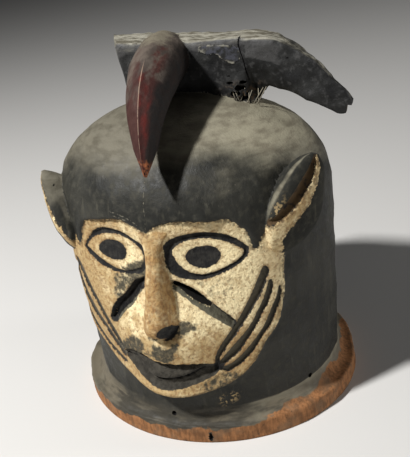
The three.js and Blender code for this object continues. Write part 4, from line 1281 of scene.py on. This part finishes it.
def beak_ground(coat, fine, ragged):
    """Mauve-grey at the root, red-brown further out, the red panel, and the flank and underside in painted
    shade.
    """
    turn, along = coat.mark("turn"), coat.mark("along")
    at, out = coat.add(turn, ragged), coat.add(along, ragged)
    grey = coat.mix(coat.spots(13, 6, 0.35, 0.65, stretch=(1, 0.5, 0.5)), MAUVE, MAUVE_PALE)
    red = coat.mix(coat.spots(8, 6, 0.36, 0.62, stretch=(1, 0.4, 0.4)), RED, RED_DULL)
    brown = coat.mix(coat.step(fine, 0.35, 0.65), RED_BROWN, RED_DULL)
    dark = coat.mix(coat.step(fine, 0.35, 0.65), FLANK_SHADE, FLANK_SHADE_PALE)
    colour = coat.mix(coat.step(out, 0.3, 0.62, 0, 0.95), grey, brown)
    panel = coat.times(coat.step(at, -0.12, 0.02), coat.step(at, 1.15, 0.6))
    panel = coat.times(panel, coat.step(out, 0.33, 0.6))
    patchy = coat.spots(11, 5, 0.3, 0.46, 0.5, 1, stretch=(1, 0.4, 0.4), shift=3.3)
    colour = coat.mix(coat.times(panel, patchy), colour, red)
    # Beyond the panel, the right flank in painted shade
    panel_edge = coat.step(along, 0.15, 0.8, 1.15, 0.62)
    colour = coat.mix(coat.step(coat.math("SUBTRACT", at, panel_edge), -0.3, 0.25), colour, dark)
    # The underside in painted shade
    return coat.mix(coat.step(coat.math("ABSOLUTE", turn), 1.75, 2.0), colour, dark)


def beak_paint():
    """The beak's paint, worn through along the ridge and at the tip, with a painted highlight on the ridge
    and dust at the root.
    """
    coat = Coat("beak_paint")
    turn, along = coat.mark("turn"), coat.mark("along")
    fine = coat.grain(5, 6, (1, 0.6, 0.6))
    ragged = coat.spots(10, 6, 0.3, 0.7, -0.16, 0.16, stretch=(1, 0.5, 0.5), shift=7.0)
    colour = beak_ground(coat, fine, ragged)
    # A pale line along the ridge: worn paint and painted highlight
    ridge = coat.step(coat.math("SUBTRACT", 0.03, coat.math("ABSOLUTE", turn)), -0.03, 0.02)
    worn = coat.times(ridge, coat.spots(5, 4, 0.34, 0.46, shift=2.2))
    worn = coat.times(worn, coat.step(along, 0.38, 0.5))
    colour = coat.mix(coat.times(worn, 0.8), colour, RIDGE_WORN_AND_LIT)
    tip = coat.step(coat.add(along, coat.times(ragged, 0.3)), 0.945, 0.985, 0, 0.85)
    tip_tone = coat.mix(coat.spots(2.2, 4, 0.42, 0.62), TIP_WOOD, RED_DULL)
    colour = coat.mix(tip, colour, tip_tone)
    dust = coat.add(coat.mark("dust"), coat.spots(7, 6, 0.3, 0.7, -0.25, 0.25, shift=4.6))
    colour = coat.mix(coat.step(dust, 0.3, 1, 0, 0.8), colour, DUST_AND_LIGHT_RIGHT_DARK)
    relief = coat.add(coat.times(coat.grain(3, 5), 0.6), coat.times(fine, 0.5))
    return coat.finish(colour, coat.step(fine, 0.3, 0.7, 0.68, 0.86), relief)


def dark_inside(name, shade, pale):
    """Wood without paint in a break or a dry fibre, and near-black painted shade in the depth of a hole.
    """
    coat = Coat(name)
    fibres = coat.grain(2.5, 5, (1, 1, 0.2))
    colour = coat.mix(coat.step(fibres, 0.35, 0.7), shade, pale)
    return coat.finish(colour, coat.step(fibres, 0.3, 0.7, 0.8, 0.95), coat.times(fibres, 0.6))


def make_cutters(hole_shade, broken):
    """All that is cut away: slits, tie holes, the crack, and the broken and decayed places."""
    # Slits, tie holes, crack, gouge, ear hole and rot holes are lined with painted shade
    cutters = [slit_cutter(slit["hole"], hole_shade) for slit in SLITS]
    cutters += [hole_cutter(*hole, hole_shade) for hole in TIE_HOLES]
    cutters += [crack_cutter(hole_shade), chip_cutter(broken), lump(*RIM_BREAK, "rim_break", broken),
                lump(*RIM_GOUGE, "rim_gouge", hole_shade), lump(*EAR_HOLE, "ear_hole", hole_shade)]
    for number, (x, z, radius) in enumerate(ROT_HOLES):
        size = [radius * share for share in ROT_LUMP["shape"]]
        cutters.append(lump((x, CREST["front"] + ROT_LUMP["depth"], z), size, ROT_LUMP["rough"],
                            ROT_LUMP["first_seed"] + number, "rot_hole", hole_shade))
    return cutters


def make_mask():
    """The carved mask as one closed skin, and the fibres under its crest."""
    wood, slab, horn = painted_wood(), crest_paint(), beak_paint()
    # Painted shade for the depths of the cut holes
    hole_shade = dark_inside("painted_hole_shade", *HOLE_SHADE)
    broken = dark_inside("broken_wood", *BROKEN)
    fibre = dark_inside("dry_fibre", *DRY)
    head = make_head(wood)
    added = [make_nose(wood), make_crest(slab), make_beak(horn)] + [make_ear(ear, wood) for ear in EARS]
    mesh = carve(head, added, make_cutters(hole_shade, broken))
    soften_joins(mesh)
    move_to(mesh, (points_of(mesh) + SHIFT) / 1000)
    mesh.set_sharp_from_angle(angle=SHARP_ANGLE)
    head.name = "carved_mask"
    mesh.name = "carved_mask"
    for piece in (head, make_splinters(fibre)):
        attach(piece, "root")
    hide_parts("helmet_mask")


# Stage

def make_floor():
    bm = bmesh.new()
    bmesh.ops.create_grid(bm, x_segments=1, y_segments=1, size=6)
    mesh = bpy.data.meshes.new("floor")
    bm.to_mesh(mesh)
    bm.free()
    floor = bpy.data.objects.new("floor", mesh)
    bpy.context.collection.objects.link(floor)
    paper = bpy.data.materials.new("pale_paper")
    paper.use_nodes = True
    paper_shader = paper.node_tree.nodes["Principled BSDF"]
    paper_shader.inputs["Base Color"].default_value = tone(*PAPER)
    paper_shader.inputs["Roughness"].default_value = 0.9
    mesh.materials.append(paper)


def make_camera():
    azimuth, elevation, roll = (math.radians(CAMERA[name]) for name in ("azimuth", "elevation", "roll"))
    back = Vector((math.sin(azimuth) * math.cos(elevation), -math.cos(azimuth) * math.cos(elevation),
                   math.sin(elevation)))
    right = Vector((math.cos(azimuth), math.sin(azimuth), 0))
    up = back.cross(right)
    aim = Vector(SHIFT) + right * CAMERA["aim_x"] + Vector((0, 0, CAMERA["aim_z"]))
    across = right * math.cos(roll) - up * math.sin(roll)
    upright = right * math.sin(roll) + up * math.cos(roll)
    camera = bpy.data.objects.new("camera", bpy.data.cameras.new("camera"))
    camera.data.sensor_fit = "VERTICAL"
    camera.data.sensor_height = SENSOR
    camera.data.lens = CAMERA["focal"] * SENSOR / CAMERA["rows"]
    turn = Matrix((across, upright, back)).transposed().to_4x4()
    camera.matrix_world = Matrix.Translation((aim + back * CAMERA["distance"]) / 1000) @ turn
    bpy.context.collection.objects.link(camera)
    bpy.context.scene.camera = camera


def make_light(name, place, target, size, power):
    light = bpy.data.lights.new(name, "AREA")
    light.shape = "DISK"
    light.size = size
    light.energy = power
    lamp = bpy.data.objects.new(name, light)
    lamp.location = place
    lamp.rotation_euler = (Vector(target) - Vector(place)).to_track_quat("-Z", "Y").to_euler()
    bpy.context.collection.objects.link(lamp)


def make_lights():
    make_light("key", LIT_PLACE + Vector(KEY["towards"]).normalized() * KEY["distance"], LIT_PLACE,
               KEY["size"], KEY["power"])
    for name, place, size, power in SIDE_LAMPS:
        make_light(name, place, LIT_PLACE, size, power)
    world = bpy.data.worlds.new("studio")
    world.use_nodes = True
    background = world.node_tree.nodes["Background"]
    background.inputs["Color"].default_value = tone(*SKY)
    background.inputs["Strength"].default_value = 0.018
    bpy.context.scene.world = world
    bpy.context.scene.view_settings.view_transform = "Standard"


make_mask()
make_floor()
make_camera()
make_lights()
